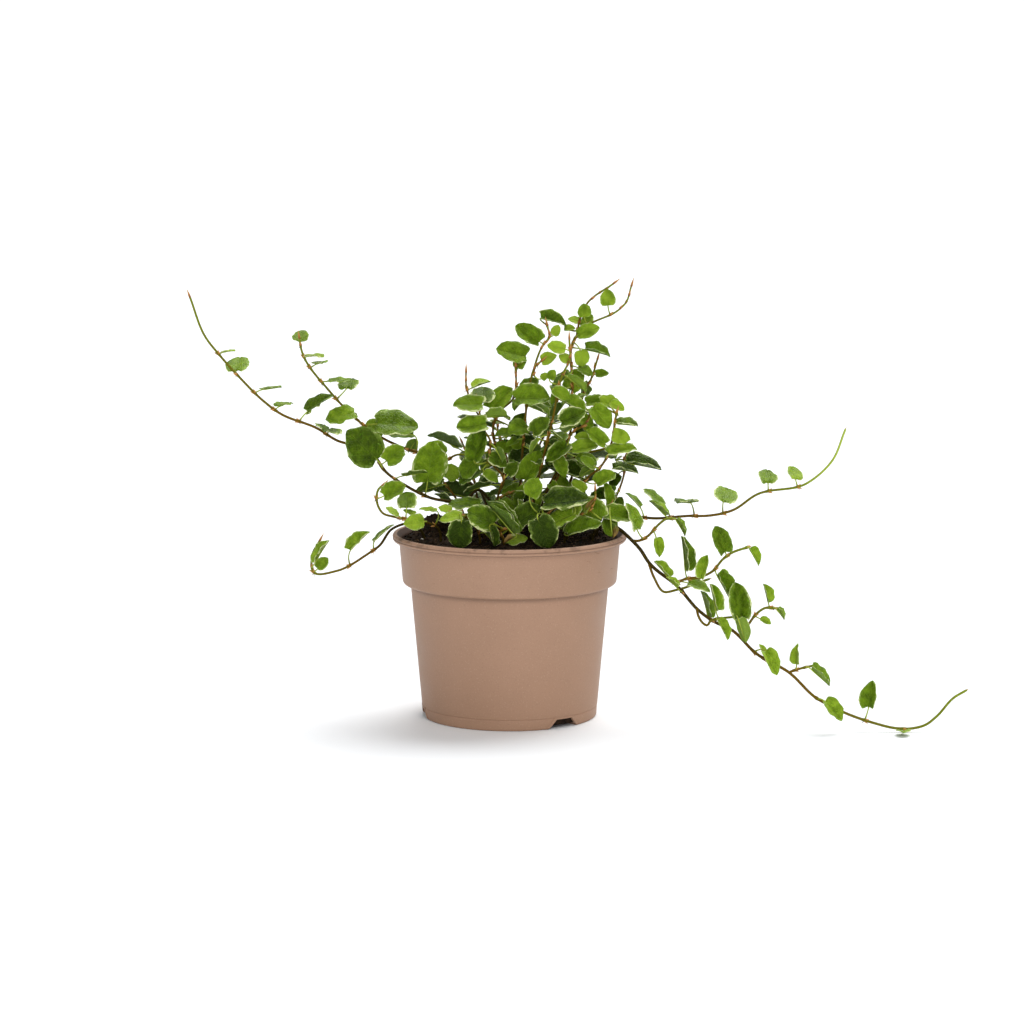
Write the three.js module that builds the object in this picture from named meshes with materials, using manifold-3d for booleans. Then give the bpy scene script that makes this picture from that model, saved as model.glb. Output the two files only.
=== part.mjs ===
// Creeping fig with white leaf edges, in a round nursery pot. Millimetres, +Z up.
// The origin is on the pot's axis, in the flat that the pot rests on. +X runs to the right as the plant
// is looked at, and +Y away from the eye.
// The plant is a bush of short stems over the pot, with runners that hang over its rim. Each leafy stem
// is one solid: the stem with its side shoots, and every leaf with its stalk.

import * as THREE from "three";
import { mergeVertices } from "three/addons/utils/BufferGeometryUtils.js";
import Module from "manifold-3d";

const wasm = await Module();
wasm.setup();
const { Manifold } = wasm;

// Pot
const RIM_DIAMETER = 120;
const POT_HEIGHT = 94.5;
const BASE_DIAMETER = 89.2;
const BODY_TOP_DIAMETER = 101.4; // just under the collar
const COLLAR_DIAMETER = 113; // under the lip
const COLLAR_FOOT_Z = 68.3;
const LIP_HEIGHT = 3.7;
const WALL = 1.1;
const FLOOR = 1.4;
const SEGMENTS = 40;

// Drains: three channels under the floor run from a flat foot in its middle to notches in the wall
const DRAINS = 3;
const FIRST_DRAIN = -52; // degrees from +X, so that one notch shows in front, to the right
const CHANNEL_START = 19;
const CHANNEL_HEIGHT = 4.8;
const CHANNEL_FOOT = 18.5;
const CHANNEL_TOP = 9.5;
const CHANNEL_MOUTH = 50; // radius up to which it is cut, out through the wall
const DRAIN_HOLE = 7; // diameter, two in the roof of each channel
const DRAIN_HOLE_RADII = [26, 37];
const DRAIN_HOLE_SIDES = 10;

// Soil
const SOIL_EDGE_Z = 86.5;
const SOIL_MIDDLE_Z = 90;
const SOIL_LUMPS = 0.7; // height

const GAP = 0.3; // between neighbouring solids
const CUT = 0.01; // how far a cutter reaches past the face that it opens
const SIMPLEST = 0.03; // how far a joined surface may move to lose its slivers
const ROOT_Z = 77; // foot of the straight root that each stem stands on, in its hole
const HOLE_DEPTH = 40; // from under the root to over the soil
const HOLE_SIDES = 5;
const STEM_SIDES = 4;
const SHOOT_SHARE = 0.7; // a side shoot's radius at its foot, in radii of its stem
const BUD_LENGTH = 3.5; // closed bud at the end of every stem and shoot
const BUD_SWELL = 1.4; // its thickest place, in radii of the stem's end
const BUD_SWELL_AT = 0.35; // along it
const BUD_TIP = 0.2; // radius

// Leaves
const BLADE_THICKNESS = 0.65;
const STALK_WIDTH = 1; // a leaf stalk is flat above and keeled below
const STALK_KEEL = 0.6; // below the middle of the blade
const FULL_WIDTH = 0.8; // of a leaf laid flat, in lengths: a narrower one is folded along its rib
const LEAST_FOLD = 0.16; // radians
const STALK_SLANT = 0.3; // how far behind the foot, in lengths, the stalk looks for its stem
const STUB = 0.2; // share of the stalk that is kept where the blade alone is tried
// Points of the outline along the leaf, and out in half widths: lobe, widest place and shoulder
const OUTLINE = [
  [-0.07, 0.68],
  [0.32, 1.06],
  [0.75, 0.78],
];
const RIB_STATIONS = [0.34, 0.74];
const SMALL_LEAF = 11; // a shorter leaf has a plainer outline
const SMALL_OUTLINE = [
  [0.13, 0.96],
  [0.64, 0.9],
];
const SMALL_RIB_STATIONS = [0.42];

// How leaves differ, in their lengths
const ALONG_VARIES = 0.035;
const OUT_VARIES = [0.88, 1.08];
const WAVE = 0.045; // of the edge, up and down
const DROOP = [0.02, 0.16]; // of the tip
const LOPSIDED = 0.04;

// Turns that a leaf may be given where it would cross another stem or its leaves:
// its foot goes back by so many millimetres, its tip up and its blade over by so many degrees
const TURNS = [
  [0, 0, 0],
  [2, 0, 0],
  [-2, 0, 0],
  [4, 0, 0],
  [-4, 0, 0],
  [0, 12, 0],
  [0, -12, 0],
  [3, 0, 20],
  [-3, 0, -20],
  [6, 0, 0],
  [-6, 0, 0],
  [4, 15, -20],
  [-4, -15, 20],
  [8, 10, 25],
  [-8, 10, -25],
  [3, 30, 40],
  [-3, -30, 40],
  [6, -25, -50],
  [-6, 30, 50],
  [0, 45, 0],
  [0, -45, 0],
];

// Stems in the order in which their leaves are set. radius: at the soil and at the bud. route and
// shoots: points [x, y, z]. A leaf is [x, y, z of the blade's foot, length, heading, pitch, roll, width]:
// heading in degrees from +X towards +Y, pitch up, roll about the rib from face up, width in lengths.
const STEMS = [
  {
    name: "runner_left_high",
    radius: [1, 0.5],
    route: [
      [-7, 0, 105], [-17, 2, 116], [-21, 2, 112], [-36, 2, 111], [-53, 4, 118], [-65, 5, 127],
      [-68, 5, 132], [-78, 6, 138], [-88, 6, 141], [-98, 7, 147], [-118, 9, 155], [-126, 10, 161],
      [-137, 10, 172], [-148, 12, 184], [-155, 12, 193], [-163, 12, 214],
    ],
    leaves: [
      [-146, 11, 186, 7.5, -35, 15, 0, 0.8], [-140, 12, 176, 14.5, 85, 30, 0, 0.8],
      [-126, 9, 167, 11, -25, 10, 0, 0.8], [-118, 11, 158, 11, 60, 10, 0, 0.8],
      [-103, 8, 156, 15, 5, 35, 20, 0.75], [-92, 4, 147, 17.5, -95, 5, -20, 0.8],
      [-68, 2, 132, 21, -175, 45, -75, 0.86], [-63, 2, 131, 11.5, 5, 40, 75, 0.85],
      [-54, -2, 124, 12.5, 0, 10, -15, 0.8], [-42, 3, 120, 21, 50, 80, 35, 0.84],
    ],
  },
  {
    name: "runner_left_mid",
    radius: [1, 0.5],
    route: [
      [-13, 12, 110], [-15, 14, 114], [-18, 16, 116], [-24, 18, 120], [-28, 19, 121], [-34, 20, 128],
      [-54, 22, 135], [-63, 22, 139], [-93, 22, 165], [-107, 22, 186], [-108, 22, 192],
    ],
    shoots: [
      [[-34, 20, 128], [-27, 20, 132], [-22, 19, 132]],
    ],
    leaves: [
      [-108, 21, 190, 10, 80, 35, 0, 0.85], [-103, 20, 183, 11.5, -50, 10, 0, 0.8],
      [-99, 20, 179, 10, -60, 15, 0, 0.8], [-93, 21, 170, 12, -15, 5, 5, 0.8],
      [-84, 23, 166, 13.5, 80, 20, 0, 0.8], [-80, 19, 154, 15, -170, -10, -40, 0.8],
      [-68, 26, 148, 10.5, 160, -30, -65, 0.8], [-68, 19, 148, 21, 0, 0, 40, 0.84],
      [-70, 20, 141, 7.5, 10, 50, 70, 0.75], [-50, 24, 142, 13.5, 180, 0, 45, 0.75],
      [-52, 24, 133, 7.5, 10, 60, -75, 0.85], [-34, 18, 132, 10, 175, 45, -70, 0.85],
      [-27, 16, 120, 10.5, 170, 45, -60, 0.8],
    ],
  },
  {
    name: "runner_left_curled",
    radius: [0.8, 0.5],
    route: [
      [-37, -17, 100], [-43, -20, 103], [-58, -24, 106], [-64, -24, 108], [-66, -24, 111],
      [-67, -24, 116], [-66, -24, 120], [-64, -24, 122],
    ],
    leaves: [
      [-63, -26, 117, 12, 5, 30, 55, 0.75], [-52, -20, 110, 12.5, 90, 35, 0, 0.8],
      [-56, -26, 107, 7.5, 175, 35, -20, 0.8], [-48, -18, 106, 6.5, 175, 30, -20, 0.8],
      [-37, -16, 108, 9, 180, 10, -10, 0.8], [-43, -27, 104, 10.5, -180, -5, -55, 0.85],
    ],
  },
  {
    name: "runner_left_low",
    radius: [0.9, 0.5],
    route: [
      [-45, -10, 97], [-48, -11, 100], [-53, -14, 101], [-59, -16, 99], [-66, -24, 91], [-71, -28, 88],
      [-87, -34, 80], [-98, -38, 80], [-99, -38, 88], [-95, -38, 96],
    ],
    leaves: [
      [-68, -24, 94, 12.5, 10, 45, -5, 0.8], [-80, -31, 90, 13.5, 10, 50, 20, 0.7],
      [-96, -39, 82, 7.5, 10, 50, 60, 0.85], [-97, -40, 86, 13, 15, 60, 5, 0.7],
    ],
  },
  {
    name: "runner_right_high",
    radius: [0.9, 0.5],
    route: [
      [47, 4, 97], [52, 4, 97], [56, 6, 100], [63, 8, 101], [76, 12, 100], [93, 14, 101],
      [101, 14, 101], [115, 14, 104], [127, 14, 112], [153, 14, 118], [166, 14, 130], [172, 14, 145],
    ],
    leaves: [
      [67, 11, 106, 10.5, 170, 50, -5, 0.8], [80, 8, 102, 11.5, 170, 45, 0, 0.7],
      [79, 14, 106, 13, 175, 40, -20, 0.8], [93, 13, 108, 15, -120, 10, 0, 0.8],
      [110, 15, 108, 15, 75, 25, 20, 0.8], [133, 15, 118, 12.5, 85, 25, 10, 0.8],
      [147, 14, 120, 11, 100, 30, 15, 0.8],
    ],
  },
  {
    name: "runner_right_low",
    radius: [1.15, 0.55],
    route: [
      [44, -10, 97], [49, -10, 100], [52, -12, 100], [56, -14, 98], [61, -18, 94], [66, -21, 89],
      [70, -23, 83], [85, -30, 71], [95, -34, 60], [102, -36, 55], [111, -38, 51], [124, -41, 39],
      [140, -43, 30], [154, -44, 17], [161, -44, 13], [184, -44, 4], [193, -45, 2], [202, -46, 2],
      [209, -46, 4], [214, -46, 8], [223, -46, 18], [228, -46, 21],
    ],
    shoots: [
      [[62, -18, 93], [65, -19, 93], [69, -20, 95], [76, -19, 102], [79, -18, 104], [83, -17, 104]],
      [[70, -23, 83], [73, -25, 75], [78, -26, 68], [84, -26, 69], [100, -24, 74]],
      [
        [80, -27, 75], [84, -31, 74], [89, -33, 76], [96, -34, 77], [102, -34, 80], [107, -34, 86],
        [111, -34, 89], [119, -34, 92],
      ],
      [
        [94, -34, 61], [95, -36, 57], [97, -37, 54], [99, -38, 53], [101, -40, 56], [105, -41, 57],
        [114, -41, 58],
      ],
      [[116, -39, 46], [120, -36, 53], [125, -34, 59], [128, -34, 61], [135, -34, 61]],
      [[140, -43, 30], [144, -41, 31], [153, -40, 33]],
    ],
    leaves: [
      [64, -24, 100, 14, 155, 70, -10, 0.8], [74, -22, 95, 10, -40, -75, 35, 0.55],
      [84, -18, 104, 9.5, -10, -55, 5, 0.6], [80, -30, 76, 11, 170, 50, -25, 0.7],
      [84, -33, 72, 7.5, 170, 50, -10, 0.6], [90, -27, 73, 12, -5, -20, 25, 0.8],
      [96, -35, 77, 12, 30, 70, 40, 0.55], [108, -36, 90, 14, 160, 65, -55, 0.7],
      [120, -35, 92, 10, -15, -60, 35, 0.5], [88, -36, 81, 17, 110, 80, 40, 0.6],
      [116, -43, 58, 18, 130, 75, -35, 0.68], [114, -46, 58, 12, -30, -70, -100, 0.6],
      [104, -38, 78, 15.5, -15, -60, 30, 0.55], [103, -45, 62, 13.5, 135, 75, -10, 0.55],
      [100, -36, 56, 13.5, 130, 75, 25, 0.6], [104, -46, 57, 11, -15, -60, 30, 0.65],
      [130, -35, 64, 10, 145, 75, -10, 0.6], [126, -36, 56, 6, -5, -20, 60, 0.65],
      [134, -35, 61, 6.5, -10, -45, 5, 0.6], [128, -42, 40, 5, 160, 60, -30, 0.8],
      [128, -44, 41, 13.5, -20, -60, 50, 0.6], [144, -42, 34, 10.5, 80, 80, -45, 0.75],
      [151, -41, 32, 12.5, -10, -40, 5, 0.7], [158, -47, 16, 13, -10, -45, 45, 0.7],
      [180, -46, 13, 13.5, 50, 75, 15, 0.75], [197, -50, 1, 9.5, -95, 0, 0, 0.8],
    ],
  },
  {
    name: "stem_front_left",
    radius: [0.9, 0.55],
    route: [
      [-15, -26, 90], [-15, -27, 96], [-18, -29, 103], [-22, -30, 107], [-27, -31, 109],
    ],
    leaves: [
      [-24, -34, 108, 11, -180, -5, -35, 0.8], [-15, -31, 112, 17, -180, -10, -45, 0.78],
      [-29, -29, 110, 7, 180, 15, -40, 0.8], [-24, -42, 106, 13, -115, -80, -20, 1],
    ],
  },
  {
    name: "stem_front_middle",
    radius: [0.9, 0.6],
    route: [
      [-3, -32, 89], [-3, -34, 96], [-5, -36, 100], [-2, -38, 102], [1, -39, 101],
    ],
    leaves: [
      [-8, -40, 105, 15, -175, 30, -60, 0.9], [0, -41, 102, 18.5, 165, 55, 0, 0.4],
      [2, -42, 103, 17, 5, 25, 30, 0.7], [-10, -42, 104, 10, -20, -70, 30, 0.45],
    ],
  },
  {
    name: "stem_front_right",
    radius: [0.9, 0.55],
    route: [
      [15, -30, 89], [14, -32, 103], [18, -33, 108], [23, -33, 112], [31, -32, 114],
    ],
    leaves: [
      [14, -46, 108, 15.5, -15, -65, 65, 0.86], [18, -36, 114, 22.5, 0, 10, 30, 0.75],
      [32, -37, 109, 16.5, -175, -20, -35, 0.75], [10, -34, 118, 10.5, 20, 65, 50, 0.9],
    ],
  },
  {
    name: "stem_front_bud",
    radius: [0.8, 0.55],
    route: [
      [28, -22, 90], [28, -24, 99], [31, -26, 105], [40, -27, 110], [43, -27, 116], [43, -27, 120],
    ],
    leaves: [
      [30, -32, 98, 17.5, 5, 20, 25, 0.7], [46, -23, 105, 15.5, 160, 40, -60, 0.85],
      [31, -30, 106, 9, 15, 60, 35, 0.8],
    ],
  },
  {
    name: "stem_right_low",
    radius: [0.85, 0.55],
    route: [
      [40, -4, 92], [45, -5, 97], [51, -12, 110],
    ],
    leaves: [
      [48, -16, 106, 15, 0, -10, 45, 0.7], [50, -19, 104, 9.5, -30, -75, 30, 0.8],
      [50, -13, 110, 12, 135, 80, -20, 0.45], [53, -8, 106, 9, 15, 60, 60, 0.8],
    ],
  },
  {
    name: "stem_right_upright",
    radius: [0.8, 0.5],
    route: [
      [48, 10, 89], [50, 10, 99], [59, 8, 127], [59, 8, 132], [61, 8, 136],
    ],
    leaves: [
      [53, 7, 127, 13, 0, -5, 15, 0.7], [60, 7, 130, 18, 0, -10, 20, 0.65],
      [56, 11, 123, 8, -170, -55, -55, 0.8],
    ],
  },
  {
    name: "stem_right_outer",
    radius: [1, 0.5],
    route: [
      [29, -12, 93], [41, -14, 126], [45, -14, 129], [48, -14, 133], [54, -14, 157],
    ],
    leaves: [
      [52, -16, 147, 9.5, 0, -15, 75, 0.85], [54, -13, 152, 11, 0, -5, 15, 0.7],
      [51, -11, 162, 8, -5, -25, 65, 0.6], [48, -16, 142, 12, 175, 40, -65, 0.6],
      [50, -17, 137, 14.5, 0, 15, 25, 0.7], [44, -16, 122, 11, 5, 30, 50, 0.7],
      [38, -17, 118, 8.5, 170, 45, -65, 0.85], [46, -10, 162, 11, 0, -10, 50, 0.7],
    ],
  },
  {
    name: "stem_right_inner",
    radius: [1, 0.5],
    route: [
      [15, -6, 94], [23, -8, 121], [27, -8, 130], [32, -8, 147], [38, -8, 151], [41, -8, 157],
    ],
    leaves: [
      [42, -11, 160, 13.5, -5, -35, 65, 0.7], [43, -5, 158, 9, -10, -60, 50, 0.8],
      [39, -6, 161, 11, 0, 10, 45, 0.7], [40, -9, 144, 7.5, 180, 10, -55, 0.8],
      [32, -10, 138, 13, 0, 10, 50, 0.65], [34, -12, 135, 11, -5, -20, 45, 0.75],
    ],
  },
  {
    name: "stem_right_slanting",
    radius: [1, 0.6],
    route: [
      [14, 4, 90], [18, 4, 113], [27, 4, 128], [34, 4, 133], [48, 4, 137],
    ],
    leaves: [
      [36, 3, 134, 11, -10, -50, 60, 0.75], [37, 3, 122, 18.5, 175, 20, -10, 0.6],
      [29, 6, 116, 9, 165, 60, -45, 0.8],
    ],
  },
  {
    name: "stem_top_right",
    radius: [1.05, 0.5],
    route: [
      [20, 14, 92], [24, 15, 125], [30, 15, 153], [32, 14, 165], [34, 12, 194], [39, 11, 199],
      [56, 10, 208], [59, 10, 211], [62, 10, 220],
    ],
    shoots: [
      [[34, 12, 193], [36, 12, 203], [39, 12, 210], [53, 12, 221]],
    ],
    leaves: [
      [50, 10, 210, 8.5, 115, 85, -20, 1], [38, 9, 204, 7, 135, 85, -40, 1],
      [36, 13, 201, 6.5, 180, 15, -45, 0.8], [38, 14, 198, 8, 10, 60, 55, 0.9],
      [35, 9, 195, 11.5, 0, 20, 70, 0.65], [28, 10, 198, 5.5, 0, 5, 55, 0.7],
      [36, 10, 187, 8.5, -20, -75, 55, 0.95], [39, 13, 187, 13, 0, -10, 25, 0.6],
      [35, 11, 178, 8.5, 0, -20, 45, 0.8], [31, 13, 166, 12.5, 10, 60, 65, 0.8],
    ],
  },
  {
    name: "stem_top_middle",
    radius: [1, 0.5],
    route: [
      [10, -16, 94], [22, -16, 156], [27, -16, 178], [30, -16, 184], [30, -16, 195],
    ],
    leaves: [
      [28, -17, 190, 9.5, 180, 15, -75, 0.7], [22, -18, 170, 10, -5, -30, 70, 0.65],
      [26, -17, 164, 14, -5, -25, 35, 0.6], [26, -18, 154, 13.5, 5, 25, 65, 0.7],
      [20, -17, 175, 5.5, 10, 60, 75, 0.95], [30, -14, 184, 6, 175, 30, -65, 0.9],
      [12, -18, 148, 11, 5, 45, 60, 0.75],
    ],
  },
  {
    name: "stem_right_rising",
    radius: [0.9, 0.5],
    route: [
      [24, 22, 92], [27, 24, 113], [33, 24, 149], [37, 22, 159], [38, 20, 164], [42, 17, 172],
      [45, 16, 182],
    ],
    leaves: [
      [44, 16, 174, 7, 0, 10, 70, 0.65], [34, 20, 160, 7, 5, 35, 15, 0.6],
      [34, 27, 143, 12, 0, 20, 45, 0.8], [29, 27, 123, 12, 175, 30, -40, 0.8],
    ],
  },
  {
    name: "stem_top_left",
    radius: [1, 0.5],
    route: [
      [5, -4, 94], [7, -4, 142], [12, -4, 178], [17, -4, 191], [20, -4, 195], [19, -4, 201],
    ],
    shoots: [
      [[12, -4, 176], [13, -5, 180], [16, -6, 183]],
    ],
    leaves: [
      [15, -6, 193, 14.5, 175, 35, -70, 0.62], [22, -5, 196, 6, 10, 60, 70, 0.9],
      [16, -7, 183, 8.5, 0, 20, 75, 0.75], [16, 0, 204, 13.5, 0, -10, 40, 0.6],
      [16, -6, 174, 4.5, 5, 40, 70, 0.9], [3, -10, 164, 17.5, 0, 5, 50, 0.72],
      [6, -1, 168, 10, 5, 30, 55, 0.8], [10, -6, 160, 11, 0, 0, -25, 0.7],
      [8, -9, 123, 16.5, 15, 65, 60, 0.68],
    ],
  },
  {
    name: "stem_left_tall",
    radius: [0.95, 0.5],
    route: [
      [-1, 6, 94], [-2, 6, 121], [-5, 6, 131], [-8, 6, 150], [-5, 6, 156], [2, 6, 163], [3, 6, 167],
      [3, 6, 179],
    ],
    leaves: [
      [8, 8, 184, 15.5, 180, 15, -55, 0.75], [4, 4, 178, 7.5, 15, 70, 60, 0.9],
      [-10, 3, 158, 15.5, 5, 45, 65, 0.7], [2, 2, 144, 13, 15, 65, 55, 0.72],
      [0, 4, 152, 5, 175, 30, -20, 0.7], [2, 3, 146, 10, -180, -10, -30, 0.75],
      [-7, 3, 138, 8.5, 0, 0, 65, 0.8], [0, 2, 140, 8, 0, -5, 70, 0.8],
    ],
  },
  {
    name: "stem_left_forked",
    radius: [0.95, 0.5],
    route: [
      [-8, -12, 94], [-5, -14, 118], [-3, -14, 123], [-10, -14, 134], [-10, -14, 144], [-13, -14, 149],
      [-16, -14, 163],
    ],
    shoots: [
      [[-14, -14, 154], [-18, -12, 160], [-22, -11, 172], [-22, -11, 178]],
    ],
    leaves: [
      [-19, -12, 170, 10, 5, 25, 20, 0.65], [-14, -11, 162, 13.5, 85, 35, 0, 0.9],
      [-14, -16, 162, 14.5, 180, 5, -40, 0.78], [-12, -16, 152, 15, -180, -5, -55, 0.72],
      [-18, -17, 134, 17, 20, 70, 55, 0.6], [-16, -15, 135, 13.5, -170, -50, -55, 0.75],
      [-15, -12, 128, 12.5, -175, -35, -35, 0.75], [-13, -15, 128, 9, -5, -30, 40, 0.8],
      [-10, -16, 136, 10, -5, -25, 55, 0.8], [-1, -16, 126, 8, 10, 55, 65, 0.9],
    ],
  },
  {
    name: "stem_left_short",
    radius: [0.8, 0.5],
    route: [
      [-13, -5, 90], [-12, -5, 101], [-9, -5, 108], [-5, -4, 113], [-1, -4, 115],
    ],
    leaves: [
      [8, -3, 115, 12.5, 180, 0, -35, 0.75], [-4, -3, 115, 7.5, -180, -5, -25, 0.7],
      [-5, -5, 112, 15, -5, -35, 40, 0.75], [-30, 2, 100, 8, 180, 10, -20, 0.8],
    ],
  },
];

// Stems at the back, which the eye doesn't meet: each rises from its root, leans out along its azimuth
// and carries leaves by turns on its two sides
const BACK_STEMS = [
  { azimuth: 28, root: 27, height: 50, lean: 25, leaves: 6 },
  { azimuth: 62, root: 24, height: 66, lean: 20, leaves: 8 },
  { azimuth: 93, root: 20, height: 56, lean: 21, leaves: 8 },
  { azimuth: 124, root: 24, height: 44, lean: 23, leaves: 6 },
  { azimuth: 152, root: 26, height: 34, lean: 21, leaves: 5 },
];
const BACK_STEM_POINTS = 8;
const BACK_STEM_START_Z = 92;
const BACK_STEM_SWAY = 5;
const BACK_STEM_RADIUS = [0.9, 0.5];
const BACK_LEAVES_FROM = 0.14; // share of the stem's height
const BACK_STALK_RISE = 37; // degrees

const up = new THREE.Vector3(0, 0, 1);
const radians = THREE.MathUtils.degToRad;

// Seeded draws between 0 and 1
let seed = 20417;
function draw() {
  seed = (seed * 1664525 + 1013904223) % 4294967296;
  return seed / 4294967296;
}
const between = (least, most) => least + (most - least) * draw();

function solidFromTriangles(points, triangles) {
  const vertProperties = new Float32Array(points.flatMap((p) => [p.x, p.y, p.z]));
  const triVerts = new Uint32Array(triangles.flat());
  return new Manifold(new wasm.Mesh({ numProp: 3, vertProperties, triVerts }));
}

function solidFromGeometry(geometry) {
  const bare = geometry.index ? geometry.toNonIndexed() : geometry;
  bare.deleteAttribute("normal");
  bare.deleteAttribute("uv");
  const merged = mergeVertices(bare, 1e-3);
  const vertProperties = merged.attributes.position.array;
  const triVerts = new Uint32Array(merged.index.array);
  return new Manifold(new wasm.Mesh({ numProp: 3, vertProperties, triVerts }));
}

function meshFromSolid(name, solid, material) {
  const { numProp, vertProperties, triVerts } = solid.getMesh();
  const positions = [];
  for (let i = 0; i < vertProperties.length; i += numProp) {
    positions.push(vertProperties[i], vertProperties[i + 1], vertProperties[i + 2]);
  }
  const geometry = new THREE.BufferGeometry();
  geometry.setAttribute("position", new THREE.Float32BufferAttribute(positions, 3));
  geometry.setIndex(Array.from(triVerts));
  const mesh = new THREE.Mesh(geometry, material);
  mesh.name = name;
  return mesh;
}

// A profile [radius, z] turned about Z
function turned(profile) {
  const points = profile.map(([radius, z]) => new THREE.Vector2(radius, z));
  const geometry = new THREE.LatheGeometry(points, SEGMENTS);
  geometry.rotateX(Math.PI / 2);
  return solidFromGeometry(geometry);
}

// A bar of trapezium section that runs out along an azimuth
function radialBar(azimuth, start, end, foot, top, z0, z1) {
  const section = new THREE.Shape([
    new THREE.Vector2(-foot / 2, z0),
    new THREE.Vector2(foot / 2, z0),
    new THREE.Vector2(top / 2, z1),
    new THREE.Vector2(-top / 2, z1),
  ]);
  const geometry = new THREE.ExtrudeGeometry(section, { depth: end - start, bevelEnabled: false });
  geometry.rotateX(Math.PI / 2);
  geometry.rotateZ(Math.PI);
  geometry.translate(0, start, 0);
  geometry.rotateZ(radians(azimuth - 90));
  return solidFromGeometry(geometry);
}

const potInside = [
  [BASE_DIAMETER / 2 - WALL, FLOOR],
  [BODY_TOP_DIAMETER / 2 - WALL, COLLAR_FOOT_Z + 1.2],
  [COLLAR_DIAMETER / 2 - 3.2, COLLAR_FOOT_Z + 4],
  [COLLAR_DIAMETER / 2 - WALL, POT_HEIGHT - 3],
];

function drainAzimuths() {
  return Array.from({ length: DRAINS }, (_, i) => FIRST_DRAIN + (360 / DRAINS) * i);
}

// The roof of each drain channel, a ridge on the floor, let out all round by a margin
function drainRidge(azimuth, margin) {
  const width = WALL + margin;
  return radialBar(
    azimuth,
    CHANNEL_START - width,
    BASE_DIAMETER / 2 + margin,
    CHANNEL_FOOT + 2 * width,
    CHANNEL_TOP + 2 * width,
    FLOOR / 2,
    CHANNEL_HEIGHT + width,
  );
}

function potSolid() {
  const rim = RIM_DIAMETER / 2;
  const lipFoot = POT_HEIGHT - LIP_HEIGHT;
  const outside = [
    [0, 0],
    [BASE_DIAMETER / 2 - 1, 0],
    [BASE_DIAMETER / 2, 1],
    [BODY_TOP_DIAMETER / 2, COLLAR_FOOT_Z],
    [BODY_TOP_DIAMETER / 2 + 3.1, COLLAR_FOOT_Z + 0.9],
    [COLLAR_DIAMETER / 2 - 1.4, COLLAR_FOOT_Z + 3.6],
    [COLLAR_DIAMETER / 2, lipFoot],
    [rim - 0.4, lipFoot + 0.4],
    [rim, POT_HEIGHT - 1.6],
    [rim - 1.1, POT_HEIGHT],
    [COLLAR_DIAMETER / 2 - 0.3, POT_HEIGHT],
  ];
  let pot = turned([...outside, ...potInside.toReversed(), [0, FLOOR]]);
  const body = turned([[0, FLOOR / 2], ...outside.slice(2, 4), [0, COLLAR_FOOT_Z]]);
  for (const azimuth of drainAzimuths()) {
    pot = pot.add(drainRidge(azimuth, 0).intersect(body));
  }
  for (const azimuth of drainAzimuths()) {
    const [start, end] = [CHANNEL_START, CHANNEL_MOUTH];
    pot = pot.subtract(radialBar(azimuth, start, end, CHANNEL_FOOT, CHANNEL_TOP, -CUT, CHANNEL_HEIGHT));
    for (const radius of DRAIN_HOLE_RADII) {
      const size = [DRAIN_HOLE / 2, DRAIN_HOLE / 2, 4 * WALL, DRAIN_HOLE_SIDES];
      const hole = new THREE.CylinderGeometry(...size);
      hole.rotateX(Math.PI / 2);
      hole.translate(
        radius * Math.cos(radians(azimuth)),
        radius * Math.sin(radians(azimuth)),
        CHANNEL_HEIGHT + WALL / 2,
      );
      pot = pot.subtract(solidFromGeometry(hole));
    }
  }
  return pot;
}

// Soil that fills the pot, with lumps on its top
function soilSolid() {
  const inner = potInside.map(([radius, z]) => [radius - GAP, z + GAP]);
  const last = inner.pop();
  const side = inner.at(-1);
  const share = (SOIL_EDGE_Z - side[1]) / (last[1] - side[1]);
  const edge = side[0] + share * (last[0] - side[0]);
  const rise = SOIL_MIDDLE_Z - SOIL_EDGE_Z;
  const crown = [
    [edge, SOIL_EDGE_Z],
    [edge * 0.75, SOIL_EDGE_Z + 0.5 * rise],
    [edge * 0.4, SOIL_EDGE_Z + 0.9 * rise],
    [0, SOIL_MIDDLE_Z],
  ];
  const profile = [[0, FLOOR + GAP], ...inner, ...crown];
  const points = profile.map(([radius, z]) => new THREE.Vector2(radius, z));
  const geometry = new THREE.LatheGeometry(points, SEGMENTS);
  geometry.rotateX(Math.PI / 2);
  const position = geometry.attributes.position;
  for (let i = 0; i < position.count; i += 1) {
    const [x, y, z] = [position.getX(i), position.getY(i), position.getZ(i)];
    if (Math.hypot(x, y) < edge - GAP && z > SOIL_EDGE_Z) {
      const lump = Math.sin(x * 0.31 + 2) * Math.cos(y * 0.37) + Math.sin(x * 0.17 - y * 0.23);
      position.setZ(i, z + (SOIL_LUMPS * lump) / 2);
    }
  }
  let soil = solidFromGeometry(geometry);
  for (const azimuth of drainAzimuths()) {
    soil = soil.subtract(drainRidge(azimuth, GAP));
  }
  return soil;
}

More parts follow.
